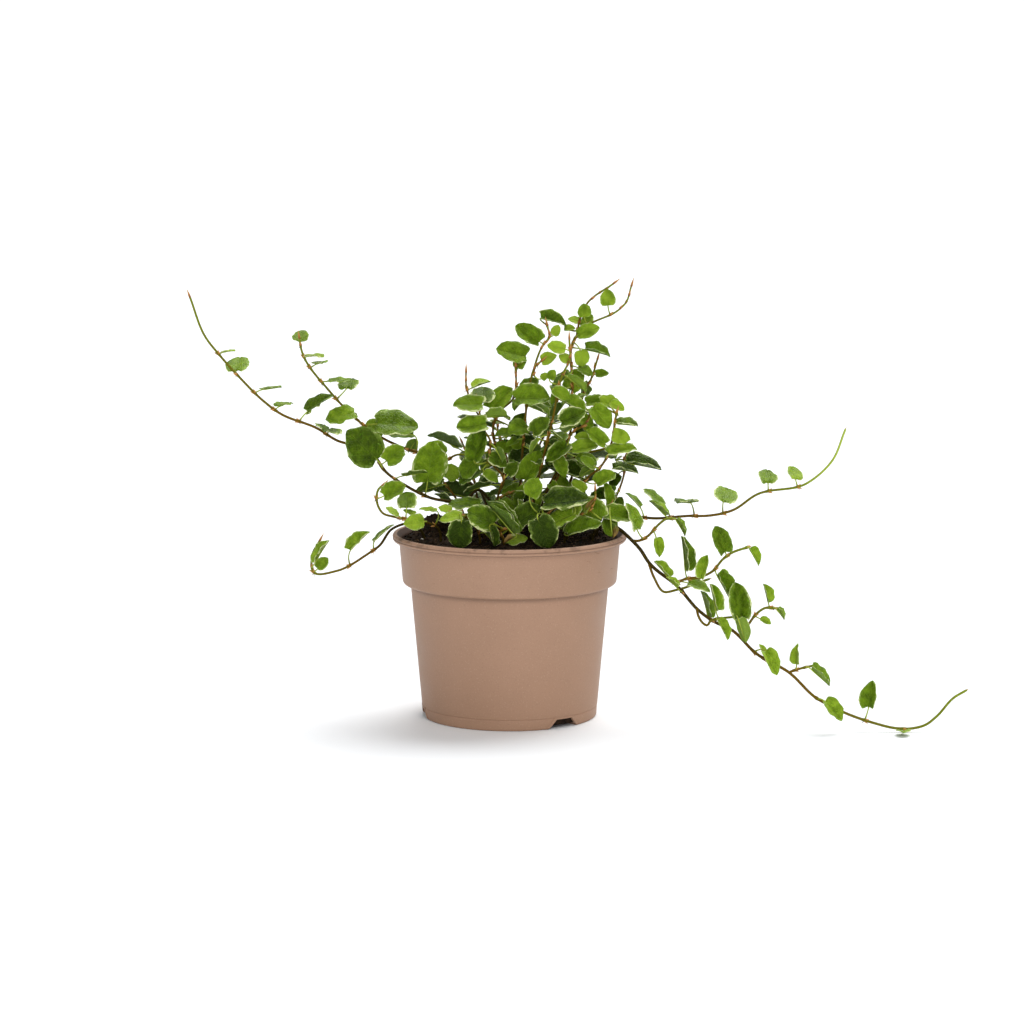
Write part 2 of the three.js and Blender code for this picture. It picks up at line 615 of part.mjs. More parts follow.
// A closed tube along points, with a radius at each and flat or pointed ends
function tube(points, radii) {
  const count = points.length;
  const sides = STEM_SIDES;
  const way = points.map((p, i) =>
    points[Math.min(i + 1, count - 1)].clone().sub(points[Math.max(i - 1, 0)]).normalize(),
  );
  let across = new THREE.Vector3(1, 0.2, 0);
  const vertices = [];
  points.forEach((p, i) => {
    across = across.clone().addScaledVector(way[i], -across.dot(way[i])).normalize();
    const over = way[i].clone().cross(across);
    for (let k = 0; k < sides; k += 1) {
      const angle = (2 * Math.PI * k) / sides;
      const spoke = across.clone().multiplyScalar(Math.cos(angle));
      spoke.addScaledVector(over, Math.sin(angle));
      vertices.push(p.clone().addScaledVector(spoke, radii[i]));
    }
  });
  const triangles = [];
  for (let i = 0; i + 1 < count; i += 1) {
    for (let k = 0; k < sides; k += 1) {
      const a = i * sides + k;
      const b = i * sides + ((k + 1) % sides);
      triangles.push([a, b, b + sides], [a, b + sides, a + sides]);
    }
  }
  for (let k = 1; k + 1 < sides; k += 1) {
    const end = (count - 1) * sides;
    triangles.push([0, k + 1, k], [end, end + k, end + k + 1]);
  }
  return solidFromTriangles(vertices, triangles);
}

// Points and radii of a stem or shoot, with its bud
function budded(points, firstRadius, lastRadius) {
  const last = points.length - 1;
  const radii = points.map((_, i) => firstRadius + ((lastRadius - firstRadius) * i) / last);
  const ahead = points[last].clone().sub(points[last - 1]).normalize();
  const swell = points[last].clone().addScaledVector(ahead, BUD_SWELL_AT * BUD_LENGTH);
  const tip = points[last].clone().addScaledVector(ahead, BUD_LENGTH);
  return { points: [...points, swell, tip], radii: [...radii, lastRadius * BUD_SWELL, BUD_TIP] };
}

function stemTubes(stem) {
  const [low, high] = stem.radius;
  const start = stem.route[0];
  const root = new THREE.Vector3(start.x, start.y, ROOT_Z);
  const main = budded(stem.route, low, high);
  const tubes = [tube([root, ...main.points], [low, ...main.radii])];
  for (const shoot of stem.shoots) {
    const { points, radii } = budded(shoot, low * SHOOT_SHARE, high);
    tubes.push(tube(points, radii));
  }
  return tubes;
}

function nearestPoint(stem, target) {
  let best = null;
  const line = new THREE.Line3();
  for (const path of [stem.route, ...stem.shoots]) {
    for (let i = 0; i + 1 < path.length; i += 1) {
      line.set(path[i], path[i + 1]);
      const point = line.closestPointToPoint(target, true, new THREE.Vector3());
      const distance = point.distanceTo(target);
      if (!best || distance < best.distance) {
        best = { point, distance };
      }
    }
  }
  return best.point;
}

// The seeded part of a leaf's form: how its sides differ, wave and droop
function leafForm(length, width) {
  const fold = Math.max(LEAST_FOLD, Math.acos(Math.min(1, width / FULL_WIDTH)));
  const isSmall = length < SMALL_LEAF;
  const outlines = [1, -1].map((side) =>
    (isSmall ? SMALL_OUTLINE : OUTLINE).map(([along, out]) => ({
      along: along + between(-ALONG_VARIES, ALONG_VARIES),
      out: side * out * between(...OUT_VARIES),
      lift: between(-WAVE, WAVE),
    })),
  );
  return {
    fold,
    outlines,
    ribStations: isSmall ? SMALL_RIB_STATIONS : RIB_STATIONS,
    droop: between(...DROOP),
    lopsided: between(-LOPSIDED, LOPSIDED),
  };
}

// A leaf and its stalk as one closed mesh, turned and let out by a margin
function leafSolid(stem, leaf, turn, margin, stalkShare = 1) {
  const [shift, tipUp, roll] = turn;
  const heading = radians(leaf.heading);
  const pitch = radians(leaf.pitch + tipUp);
  const along = new THREE.Vector3(
    Math.cos(pitch) * Math.cos(heading),
    Math.cos(pitch) * Math.sin(heading),
    Math.sin(pitch),
  );
  const side = up.clone().cross(along).normalize();
  const face = along.clone().cross(side);
  side.applyAxisAngle(along, radians(leaf.roll + roll));
  face.applyAxisAngle(along, radians(leaf.roll + roll));

  const foot = leaf.foot.clone().add(new THREE.Vector3(0, shift, 0));
  const root = nearestPoint(stem, foot.clone().addScaledVector(along, -STALK_SLANT * leaf.length));
  root.lerp(foot, 1 - stalkShare);
  const { fold, outlines, ribStations, droop, lopsided } = leaf.form;
  const halfWidth = (FULL_WIDTH * leaf.length * Math.max(1, leaf.width / FULL_WIDTH)) / 2;
  const half = BLADE_THICKNESS / 2 / Math.cos(fold) + margin;
  const bladePoint = (s, out, lift) => {
    const reach = out * halfWidth + Math.sign(out) * margin;
    const height = Math.abs(reach) * Math.sin(fold) + (lift - droop * s * s) * leaf.length;
    return foot
      .clone()
      .addScaledVector(along, s * leaf.length)
      .addScaledVector(side, reach * Math.cos(fold) + lopsided * s * leaf.length)
      .addScaledVector(face, height);
  };

  // The stalk is a bar of three edges, mitred where it meets the blade
  const stalk = foot.clone().sub(root).normalize();
  const arrival = stalk.clone().add(along).normalize();
  const across = side.clone().addScaledVector(arrival, -side.dot(arrival)).normalize();
  const over = arrival.clone().cross(across);
  if (over.dot(face) < 0) {
    over.negate();
  }
  const turnBack = new THREE.Quaternion().setFromUnitVectors(arrival, stalk);
  const corner = (centre, out, rise, isRoot) => {
    const spread = across.clone().multiplyScalar(out * (STALK_WIDTH / 2 + margin));
    spread.addScaledVector(over, rise);
    return centre.clone().add(isRoot ? spread.applyQuaternion(turnBack) : spread);
  };
  const vertices = [];
  const add = (p) => vertices.push(p) - 1;
  const sheetOf = (o, roots, feet) => {
    const offset = face.clone().multiplyScalar(o * half);
    const blade = (s, out, lift) => add(bladePoint(s, out, lift).add(offset));
    return {
      roots,
      feet,
      rib: ribStations.map((s) => blade(s, 0, 0)),
      tip: blade(1 + margin / leaf.length, 0, 0),
      edges: outlines.map((outline) => outline.map((p) => blade(p.along, p.out, p.lift))),
    };
  };
  const bothSides = (centre, isRoot) => [1, -1].map((out) => add(corner(centre, out, half, isRoot)));
  const keelOf = (centre, isRoot) => add(corner(centre, 0, -STALK_KEEL - margin, isRoot));
  const keel = [keelOf(root, true), keelOf(foot, false)];
  const top = sheetOf(1, bothSides(root, true), bothSides(foot, false));
  const bottom = sheetOf(-1, [keel[0], keel[0]], [keel[1], keel[1]]);

  const triangles = [];
  const face3 = (a, b, c) => {
    if (a !== b && b !== c && c !== a) {
      triangles.push([a, b, c]);
    }
  };
  for (const f of [top, bottom]) {
    const sheet = (a, b, c) => (f === top ? face3(a, b, c) : face3(a, c, b));
    sheet(f.feet[0], f.feet[1], f.rib[0]);
    sheet(f.roots[0], f.roots[1], f.feet[1]);
    sheet(f.roots[0], f.feet[1], f.feet[0]);
    f.edges.forEach((edge, i) => {
      const border = [f.feet[i], ...edge, f.tip];
      const middle = [f.rib[0], ...f.rib];
      const strip = (a, b, c) => (i ? sheet(a, c, b) : sheet(a, b, c));
      for (let k = 0; k + 1 < border.length; k += 1) {
        const here = middle[Math.min(k, middle.length - 1)];
        const ahead = middle[Math.min(k + 1, middle.length - 1)];
        strip(border[k], here, border[k + 1]);
        strip(border[k + 1], here, ahead);
      }
    });
  }
  const around = (f) => [
    ...[f.roots[0], f.feet[0], ...f.edges[0], f.tip],
    ...[...f.edges[1].toReversed(), f.feet[1], f.roots[1]],
  ];
  const below = around(bottom);
  around(top).forEach((a, i, above) => {
    const next = (i + 1) % above.length;
    face3(a, above[next], below[next]);
    face3(a, below[next], below[i]);
  });
  return solidFromTriangles(vertices, triangles);
}

function withVectors(stem) {
  const vector = (p) => new THREE.Vector3(...p);
  return {
    name: stem.name,
    radius: stem.radius,
    route: stem.route.map(vector),
    shoots: (stem.shoots ?? []).map((shoot) => shoot.map(vector)),
    leaves: stem.leaves.map(([x, y, z, length, heading, pitch, roll, width]) => ({
      foot: vector([x, y, z]),
      length,
      heading,
      pitch,
      roll,
      width,
      form: leafForm(length, width),
    })),
  };
}

function backStem({ azimuth, root, height, lean, leaves }, index) {
  const bearing = radians(azimuth);
  const sway = between(-BACK_STEM_SWAY, BACK_STEM_SWAY);
  const point = (t) => {
    const radius = root + lean * t * t;
    const turn = bearing + (sway * Math.sin(t * Math.PI * 1.5)) / radius;
    return [radius * Math.cos(turn), radius * Math.sin(turn), BACK_STEM_START_Z + height * t];
  };
  const route = Array.from({ length: BACK_STEM_POINTS }, (_, i) => point(i / (BACK_STEM_POINTS - 1)));
  const rows = Array.from({ length: leaves }, (_, i) => {
    const t = BACK_LEAVES_FROM + ((1 - BACK_LEAVES_FROM) * i) / leaves;
    const heading = azimuth + (i % 2 ? 1 : -1) * between(35, 80);
    const stalk = between(4, 7);
    const out = stalk * Math.cos(radians(BACK_STALK_RISE));
    const [x, y, z] = point(t);
    return [
      x + out * Math.cos(radians(heading)),
      y + out * Math.sin(radians(heading)),
      z + stalk * Math.sin(radians(BACK_STALK_RISE)),
      between(13, 21),
      heading,
      between(0, 40),
      between(-20, 20),
      between(0.7, 0.88),
    ];
  });
  return { name: `stem_back_${index + 1}`, radius: BACK_STEM_RADIUS, route, leaves: rows };
}

// Sets every leaf of every stem, each turned clear of what already stands, and joins each stem's solids
function grow(stems, others) {
  const standing = stems.map(stemTubes);
  const built = stems.map((stem, i) => [...standing[i]]);
  const boxes = new Map();
  const boxOf = (solid) => {
    if (!boxes.has(solid)) {
      const { min, max } = solid.boundingBox();
      boxes.set(solid, new THREE.Box3(new THREE.Vector3(...min), new THREE.Vector3(...max)));
    }
    return boxes.get(solid);
  };
  const meets = (solid, candidate) =>
    boxOf(solid).intersectsBox(boxOf(candidate)) && !candidate.intersect(solid).isEmpty();
  stems.forEach((stem, i) => {
    const leaves = [];
    for (const leaf of stem.leaves) {
      const rest = [...others, ...built.filter((_, k) => k !== i).flat()];
      const clear = TURNS.filter((turn) => {
        const candidate = leafSolid(stem, leaf, turn, GAP);
        return boxOf(candidate).min.z > 0 && !rest.some((solid) => meets(solid, candidate));
      });
      const crossings = clear.map((turn) => {
        const blade = leafSolid(stem, leaf, turn, 0, STUB);
        return [...standing[i], ...leaves].filter((solid) => meets(solid, blade)).length;
      });
      const best = crossings.indexOf(Math.min(...crossings));
      if (best >= 0) {
        const chosen = leafSolid(stem, leaf, clear[best], 0);
        leaves.push(chosen);
        built[i].push(chosen);
      }
    }
  });
  return built.map((solids) => Manifold.union(solids).simplify(SIMPLEST));
}

const potMaterial = new THREE.MeshStandardMaterial({ color: "#a98d78", roughness: 0.55 });
const soilMaterial = new THREE.MeshStandardMaterial({ color: "#2a1e17", roughness: 0.95 });
const leafMaterial = new THREE.MeshStandardMaterial({ color: "#5d8a35", roughness: 0.5 });

const stems = [...STEMS, ...BACK_STEMS.map(backStem)].map(withVectors);
const pot = potSolid();
let soil = soilSolid();
for (const stem of stems) {
  const reach = (stem.radius[0] + GAP) / Math.cos(Math.PI / HOLE_SIDES);
  const hole = new THREE.CylinderGeometry(reach, reach, HOLE_DEPTH, HOLE_SIDES);
  hole.rotateX(Math.PI / 2);
  hole.translate(stem.route[0].x, stem.route[0].y, ROOT_Z - GAP + HOLE_DEPTH / 2);
  soil = soil.subtract(solidFromGeometry(hole));
}

const plant = new THREE.Group();
plant.name = "potted_creeping_fig";
plant.add(meshFromSolid("pot", pot, potMaterial));
plant.add(meshFromSolid("soil", soil, soilMaterial));
grow(stems, [pot, soil]).forEach((solid, i) => {
  plant.add(meshFromSolid(stems[i].name, solid, leafMaterial));
});

export default plant;
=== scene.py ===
# %% [markdown]
# # A creeping fig in a nursery pot
# The object is a young creeping fig: an upright little bush of thin woody stems, and a few long
# runners that hang out over the rim of a taupe plastic pot. The rigid model already has every
# stem, leaf and wall in its place, in coarse facets. This file takes that model as its frame and
# puts a finer piece in the place of each of its solids: smooth leaves with cream edges and veins,
# round stems with sheaths and little roots, crumbly peat, and a turned pot with a rolled rim.

import math

import bmesh
import bpy
import numpy as np
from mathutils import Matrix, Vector, kdtree, noise


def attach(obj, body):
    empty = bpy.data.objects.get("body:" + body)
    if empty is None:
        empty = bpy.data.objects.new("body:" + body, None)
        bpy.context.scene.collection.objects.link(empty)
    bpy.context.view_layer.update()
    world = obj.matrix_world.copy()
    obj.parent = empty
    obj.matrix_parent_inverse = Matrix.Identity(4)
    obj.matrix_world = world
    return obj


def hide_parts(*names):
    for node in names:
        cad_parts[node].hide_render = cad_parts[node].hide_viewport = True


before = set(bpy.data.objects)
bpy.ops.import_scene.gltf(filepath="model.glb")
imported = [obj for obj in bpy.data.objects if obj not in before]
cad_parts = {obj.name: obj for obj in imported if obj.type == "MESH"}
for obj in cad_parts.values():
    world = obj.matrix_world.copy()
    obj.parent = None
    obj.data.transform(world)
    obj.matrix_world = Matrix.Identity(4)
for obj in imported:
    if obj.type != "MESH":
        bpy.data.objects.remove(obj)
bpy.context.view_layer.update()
scene = bpy.context.scene
MM = 0.001
UP = Vector((0, 0, 1))
print(len(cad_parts), "solids in the frame")

# %% [markdown]
# ## Where every stem and leaf goes
# A plant could be grown by a random rule, but this one has to keep the habit of one real plant,
# so each stem is a route of points and each leaf a row: the place of its foot, its length, the
# way that it heads, how far its tip is raised, its roll, and how wide it looks for its length.
# All is in millimetres and degrees, as in the rigid model: x runs along the width, y away from
# the viewer, z up.

# %% [markdown]
# ## Runners to the left
# Four runners reach out over the rim to the left. A runner is a young shoot that looks for a wall
# to climb: long and thin, with its leaves in two rows. Each could be a curve drawn by hand in the
# viewport. As rows of numbers it can be read, compared and changed in one place.

# %% Runners to the left
STEMS = {
    "runner_left_high": dict(
        radius=(1, 0.5),
        route=[
            (-7, 0, 105), (-17, 2, 116), (-21, 2, 112), (-36, 2, 111), (-53, 4, 118),
            (-65, 5, 127), (-68, 5, 132), (-78, 6, 138), (-88, 6, 141), (-98, 7, 147),
            (-118, 9, 155), (-126, 10, 161), (-137, 10, 172), (-148, 12, 184), (-155, 12, 193),
            (-163, 12, 214),
        ],
        leaves=[
            (-146, 11, 186, 7.5, -35, 15, 0, 0.8), (-140, 12, 176, 14.5, 85, 30, 0, 0.8),
            (-126, 9, 167, 11, -25, 10, 0, 0.8), (-118, 11, 158, 11, 60, 10, 0, 0.8),
            (-103, 8, 156, 15, 5, 35, 20, 0.75), (-92, 4, 147, 17.5, -95, 5, -20, 0.8),
            (-68, 2, 132, 21, -175, 45, -75, 0.86), (-63, 2, 131, 11.5, 5, 40, 75, 0.85),
            (-54, -2, 124, 12.5, 0, 10, -15, 0.8), (-42, 3, 120, 21, 50, 80, 35, 0.84),
        ],
    ),
    "runner_left_mid": dict(
        radius=(1, 0.5),
        route=[
            (-13, 12, 110), (-15, 14, 114), (-18, 16, 116), (-24, 18, 120), (-28, 19, 121),
            (-34, 20, 128), (-54, 22, 135), (-63, 22, 139), (-93, 22, 165), (-107, 22, 186),
            (-108, 22, 192),
        ],
        shoots=[
            [(-34, 20, 128), (-27, 20, 132), (-22, 19, 132)],
        ],
        leaves=[
            (-108, 21, 190, 10, 80, 35, 0, 0.85), (-103, 20, 183, 11.5, -50, 10, 0, 0.8),
            (-99, 20, 179, 10, -60, 15, 0, 0.8), (-93, 21, 170, 12, -15, 5, 5, 0.8),
            (-84, 23, 166, 13.5, 80, 20, 0, 0.8), (-80, 19, 154, 15, -170, -10, -40, 0.8),
            (-68, 26, 148, 10.5, 160, -30, -65, 0.8), (-68, 19, 148, 21, 0, 0, 40, 0.84),
            (-70, 20, 141, 7.5, 10, 50, 70, 0.75), (-50, 24, 142, 13.5, 180, 0, 45, 0.75),
            (-52, 24, 133, 7.5, 10, 60, -75, 0.85), (-34, 18, 132, 10, 175, 45, -70, 0.85),
            (-27, 16, 120, 10.5, 170, 45, -60, 0.8),
        ],
    ),
    "runner_left_curled": dict(
        radius=(0.8, 0.5),
        route=[
            (-37, -17, 100), (-43, -20, 103), (-58, -24, 106), (-64, -24, 108), (-66, -24, 111),
            (-67, -24, 116), (-66, -24, 120), (-64, -24, 122),
        ],
        leaves=[
            (-63, -26, 117, 12, 5, 30, 55, 0.75), (-52, -20, 110, 12.5, 90, 35, 0, 0.8),
            (-56, -26, 107, 7.5, 175, 35, -20, 0.8), (-48, -18, 106, 6.5, 175, 30, -20, 0.8),
            (-37, -16, 108, 9, 180, 10, -10, 0.8), (-43, -27, 104, 10.5, -180, -5, -55, 0.85),
        ],
    ),
    "runner_left_low": dict(
        radius=(0.9, 0.5),
        route=[
            (-45, -10, 97), (-48, -11, 100), (-53, -14, 101), (-59, -16, 99), (-66, -24, 91),
            (-71, -28, 88), (-87, -34, 80), (-98, -38, 80), (-99, -38, 88), (-95, -38, 96),
        ],
        leaves=[
            (-68, -24, 94, 12.5, 10, 45, -5, 0.8), (-80, -31, 90, 13.5, 10, 50, 20, 0.7),
            (-96, -39, 82, 7.5, 10, 50, 60, 0.85), (-97, -40, 86, 13, 15, 60, 5, 0.7),
        ],
    ),
}
print(len(STEMS), "runners to the left")

# %% [markdown]
# ## Runners to the right
# One runner hangs far out to the right, and the lowest one runs down to the floor with six side
# shoots. A shoot is a route of its own that starts on its runner, so it stands in the same entry.

# %% Runners to the right
STEMS |= {
    "runner_right_high": dict(
        radius=(0.9, 0.5),
        route=[
            (47, 4, 97), (52, 4, 97), (56, 6, 100), (63, 8, 101), (76, 12, 100), (93, 14, 101),
            (101, 14, 101), (115, 14, 104), (127, 14, 112), (153, 14, 118), (166, 14, 130),
            (172, 14, 145),
        ],
        leaves=[
            (67, 11, 106, 10.5, 170, 50, -5, 0.8), (80, 8, 102, 11.5, 170, 45, 0, 0.7),
            (79, 14, 106, 13, 175, 40, -20, 0.8), (93, 13, 108, 15, -120, 10, 0, 0.8),
            (110, 15, 108, 15, 75, 25, 20, 0.8), (133, 15, 118, 12.5, 85, 25, 10, 0.8),
            (147, 14, 120, 11, 100, 30, 15, 0.8),
        ],
    ),
    "runner_right_low": dict(
        radius=(1.15, 0.55),
        route=[
            (44, -10, 97), (49, -10, 100), (52, -12, 100), (56, -14, 98), (61, -18, 94),
            (66, -21, 89), (70, -23, 83), (85, -30, 71), (95, -34, 60), (102, -36, 55),
            (111, -38, 51), (124, -41, 39), (140, -43, 30), (154, -44, 17), (161, -44, 13),
            (184, -44, 4), (193, -45, 2), (202, -46, 2), (209, -46, 4), (214, -46, 8),
            (223, -46, 18), (228, -46, 21),
        ],
        shoots=[
            [
                (62, -18, 93), (65, -19, 93), (69, -20, 95), (76, -19, 102), (79, -18, 104),
                (83, -17, 104),
            ],
            [(70, -23, 83), (73, -25, 75), (78, -26, 68), (84, -26, 69), (100, -24, 74)],
            [
                (80, -27, 75), (84, -31, 74), (89, -33, 76), (96, -34, 77), (102, -34, 80),
                (107, -34, 86), (111, -34, 89), (119, -34, 92),
            ],
            [
                (94, -34, 61), (95, -36, 57), (97, -37, 54), (99, -38, 53), (101, -40, 56),
                (105, -41, 57), (114, -41, 58),
            ],
            [(116, -39, 46), (120, -36, 53), (125, -34, 59), (128, -34, 61), (135, -34, 61)],
            [(140, -43, 30), (144, -41, 31), (153, -40, 33)],
        ],
        leaves=[
            (64, -24, 100, 14, 155, 70, -10, 0.8), (74, -22, 95, 10, -40, -75, 35, 0.55),
            (84, -18, 104, 9.5, -10, -55, 5, 0.6), (80, -30, 76, 11, 170, 50, -25, 0.7),
            (84, -33, 72, 7.5, 170, 50, -10, 0.6), (90, -27, 73, 12, -5, -20, 25, 0.8),
            (96, -35, 77, 12, 30, 70, 40, 0.55), (108, -36, 90, 14, 160, 65, -55, 0.7),
            (120, -35, 92, 10, -15, -60, 35, 0.5), (88, -36, 81, 17, 110, 80, 40, 0.6),
            (116, -43, 58, 18, 130, 75, -35, 0.68), (114, -46, 58, 12, -30, -70, -100, 0.6),
            (104, -38, 78, 15.5, -15, -60, 30, 0.55), (103, -45, 62, 13.5, 135, 75, -10, 0.55),
            (100, -36, 56, 13.5, 130, 75, 25, 0.6), (104, -46, 57, 11, -15, -60, 30, 0.65),
            (130, -35, 64, 10, 145, 75, -10, 0.6), (126, -36, 56, 6, -5, -20, 60, 0.65),
            (134, -35, 61, 6.5, -10, -45, 5, 0.6), (128, -42, 40, 5, 160, 60, -30, 0.8),
            (128, -44, 41, 13.5, -20, -60, 50, 0.6), (144, -42, 34, 10.5, 80, 80, -45, 0.75),
            (151, -41, 32, 12.5, -10, -40, 5, 0.7), (158, -47, 16, 13, -10, -45, 45, 0.7),
            (180, -46, 13, 13.5, 50, 75, 15, 0.75), (197, -50, 1, 9.5, -95, 0, 0, 0.8),
        ],
    ),
}
print(len(STEMS["runner_right_low"]["shoots"]), "side shoots on the lowest runner")

# %% [markdown]
# ## Stems in front
# Four short stems lean out over the rim in front, and one low on the right. Their leaves hang
# down towards the viewer and cover part of the rim, so these are the leaves that are seen whole.

# %% Stems in front
STEMS |= {
    "stem_front_left": dict(
        radius=(0.9, 0.55),
        route=[
            (-15, -26, 90), (-15, -27, 96), (-18, -29, 103), (-22, -30, 107), (-27, -31, 109),
        ],
        leaves=[
            (-24, -34, 108, 11, -180, -5, -35, 0.8), (-15, -31, 112, 17, -180, -10, -45, 0.78),
            (-29, -29, 110, 7, 180, 15, -40, 0.8), (-24, -42, 106, 13, -115, -80, -20, 1),
        ],
    ),
    "stem_front_middle": dict(
        radius=(0.9, 0.6),
        route=[
            (-3, -32, 89), (-3, -34, 96), (-5, -36, 100), (-2, -38, 102), (1, -39, 101),
        ],
        leaves=[
            (-8, -40, 105, 15, -175, 30, -60, 0.9), (0, -41, 102, 18.5, 165, 55, 0, 0.4),
            (2, -42, 103, 17, 5, 25, 30, 0.7), (-10, -42, 104, 10, -20, -70, 30, 0.45),
        ],
    ),
    "stem_front_right": dict(
        radius=(0.9, 0.55),
        route=[
            (15, -30, 89), (14, -32, 103), (18, -33, 108), (23, -33, 112), (31, -32, 114),
        ],
        leaves=[
            (14, -46, 108, 15.5, -15, -65, 65, 0.86), (18, -36, 114, 22.5, 0, 10, 30, 0.75),
            (32, -37, 109, 16.5, -175, -20, -35, 0.75), (10, -34, 118, 10.5, 20, 65, 50, 0.9),
        ],
    ),
    "stem_front_bud": dict(
        radius=(0.8, 0.55),
        route=[
            (28, -22, 90), (28, -24, 99), (31, -26, 105), (40, -27, 110), (43, -27, 116),
            (43, -27, 120),
        ],
        leaves=[
            (30, -32, 98, 17.5, 5, 20, 25, 0.7), (46, -23, 105, 15.5, 160, 40, -60, 0.85),
            (31, -30, 106, 9, 15, 60, 35, 0.8),
        ],
    ),
    "stem_right_low": dict(
        radius=(0.85, 0.55),
        route=[
            (40, -4, 92), (45, -5, 97), (51, -12, 110),
        ],
        leaves=[
            (48, -16, 106, 15, 0, -10, 45, 0.7), (50, -19, 104, 9.5, -30, -75, 30, 0.8),
            (50, -13, 110, 12, 135, 80, -20, 0.45), (53, -8, 106, 9, 15, 60, 60, 0.8),
        ],
    ),
}
print(len(STEMS), "runners and stems so far")

# %% [markdown]
# ## Stems on the right
# The right side of the bush is made of stems that rise steeply and part as they go up. Their
# leaves are large and lie at every angle, so each row has its own pitch and roll.

# %% Stems on the right
STEMS |= {
    "stem_right_upright": dict(
        radius=(0.8, 0.5),
        route=[
            (48, 10, 89), (50, 10, 99), (59, 8, 127), (59, 8, 132), (61, 8, 136),
        ],
        leaves=[
            (53, 7, 127, 13, 0, -5, 15, 0.7), (60, 7, 130, 18, 0, -10, 20, 0.65),
            (56, 11, 123, 8, -170, -55, -55, 0.8),
        ],
    ),
    "stem_right_outer": dict(
        radius=(1, 0.5),
        route=[
            (29, -12, 93), (41, -14, 126), (45, -14, 129), (48, -14, 133), (54, -14, 157),
        ],
        leaves=[
            (52, -16, 147, 9.5, 0, -15, 75, 0.85), (54, -13, 152, 11, 0, -5, 15, 0.7),
            (51, -11, 162, 8, -5, -25, 65, 0.6), (48, -16, 142, 12, 175, 40, -65, 0.6),
            (50, -17, 137, 14.5, 0, 15, 25, 0.7), (44, -16, 122, 11, 5, 30, 50, 0.7),
            (38, -17, 118, 8.5, 170, 45, -65, 0.85), (46, -10, 162, 11, 0, -10, 50, 0.7),
        ],
    ),
    "stem_right_inner": dict(
        radius=(1, 0.5),
        route=[
            (15, -6, 94), (23, -8, 121), (27, -8, 130), (32, -8, 147), (38, -8, 151),
            (41, -8, 157),
        ],
        leaves=[
            (42, -11, 160, 13.5, -5, -35, 65, 0.7), (43, -5, 158, 9, -10, -60, 50, 0.8),
            (39, -6, 161, 11, 0, 10, 45, 0.7), (40, -9, 144, 7.5, 180, 10, -55, 0.8),
            (32, -10, 138, 13, 0, 10, 50, 0.65), (34, -12, 135, 11, -5, -20, 45, 0.75),
        ],
    ),
    "stem_right_slanting": dict(
        radius=(1, 0.6),
        route=[
            (14, 4, 90), (18, 4, 113), (27, 4, 128), (34, 4, 133), (48, 4, 137),
        ],
        leaves=[
            (36, 3, 134, 11, -10, -50, 60, 0.75), (37, 3, 122, 18.5, 175, 20, -10, 0.6),
            (29, 6, 116, 9, 165, 60, -45, 0.8),
        ],
    ),
}
print(len(STEMS), "runners and stems so far")

# %% [markdown]
# ## The highest stems
# These stand out above the bush, so their outline counts most. The leaves near a tip are the
# younger ones and mostly smaller than those further down.

# %% The highest stems
STEMS |= {
    "stem_top_right": dict(
        radius=(1.05, 0.5),
        route=[
            (20, 14, 92), (24, 15, 125), (30, 15, 153), (32, 14, 165), (34, 12, 194),
            (39, 11, 199), (56, 10, 208), (59, 10, 211), (62, 10, 220),
        ],
        shoots=[
            [(34, 12, 193), (36, 12, 203), (39, 12, 210), (53, 12, 221)],
        ],
        leaves=[
            (50, 10, 210, 8.5, 115, 85, -20, 1), (38, 9, 204, 7, 135, 85, -40, 1),
            (36, 13, 201, 6.5, 180, 15, -45, 0.8), (38, 14, 198, 8, 10, 60, 55, 0.9),
            (35, 9, 195, 11.5, 0, 20, 70, 0.65), (28, 10, 198, 5.5, 0, 5, 55, 0.7),
            (36, 10, 187, 8.5, -20, -75, 55, 0.95), (39, 13, 187, 13, 0, -10, 25, 0.6),
            (35, 11, 178, 8.5, 0, -20, 45, 0.8), (31, 13, 166, 12.5, 10, 60, 65, 0.8),
        ],
    ),
    "stem_top_middle": dict(
        radius=(1, 0.5),
        route=[
            (10, -16, 94), (22, -16, 156), (27, -16, 178), (30, -16, 184), (30, -16, 195),
        ],
        leaves=[
            (28, -17, 190, 9.5, 180, 15, -75, 0.7), (22, -18, 170, 10, -5, -30, 70, 0.65),
            (26, -17, 164, 14, -5, -25, 35, 0.6), (26, -18, 154, 13.5, 5, 25, 65, 0.7),
            (20, -17, 175, 5.5, 10, 60, 75, 0.95), (30, -14, 184, 6, 175, 30, -65, 0.9),
            (12, -18, 148, 11, 5, 45, 60, 0.75),
        ],
    ),
    "stem_right_rising": dict(
        radius=(0.9, 0.5),
        route=[
            (24, 22, 92), (27, 24, 113), (33, 24, 149), (37, 22, 159), (38, 20, 164),
            (42, 17, 172), (45, 16, 182),
        ],
        leaves=[
            (44, 16, 174, 7, 0, 10, 70, 0.65), (34, 20, 160, 7, 5, 35, 15, 0.6),
            (34, 27, 143, 12, 0, 20, 45, 0.8), (29, 27, 123, 12, 175, 30, -40, 0.8),
        ],
    ),
    "stem_top_left": dict(
        radius=(1, 0.5),
        route=[
            (5, -4, 94), (7, -4, 142), (12, -4, 178), (17, -4, 191), (20, -4, 195), (19, -4, 201),
        ],
        shoots=[
            [(12, -4, 176), (13, -5, 180), (16, -6, 183)],
        ],
        leaves=[
            (15, -6, 193, 14.5, 175, 35, -70, 0.62), (22, -5, 196, 6, 10, 60, 70, 0.9),
            (16, -7, 183, 8.5, 0, 20, 75, 0.75), (16, 0, 204, 13.5, 0, -10, 40, 0.6),
            (16, -6, 174, 4.5, 5, 40, 70, 0.9), (3, -10, 164, 17.5, 0, 5, 50, 0.72),
            (6, -1, 168, 10, 5, 30, 55, 0.8), (10, -6, 160, 11, 0, 0, -25, 0.7),
            (8, -9, 123, 16.5, 15, 65, 60, 0.68),
        ],
    ),
}
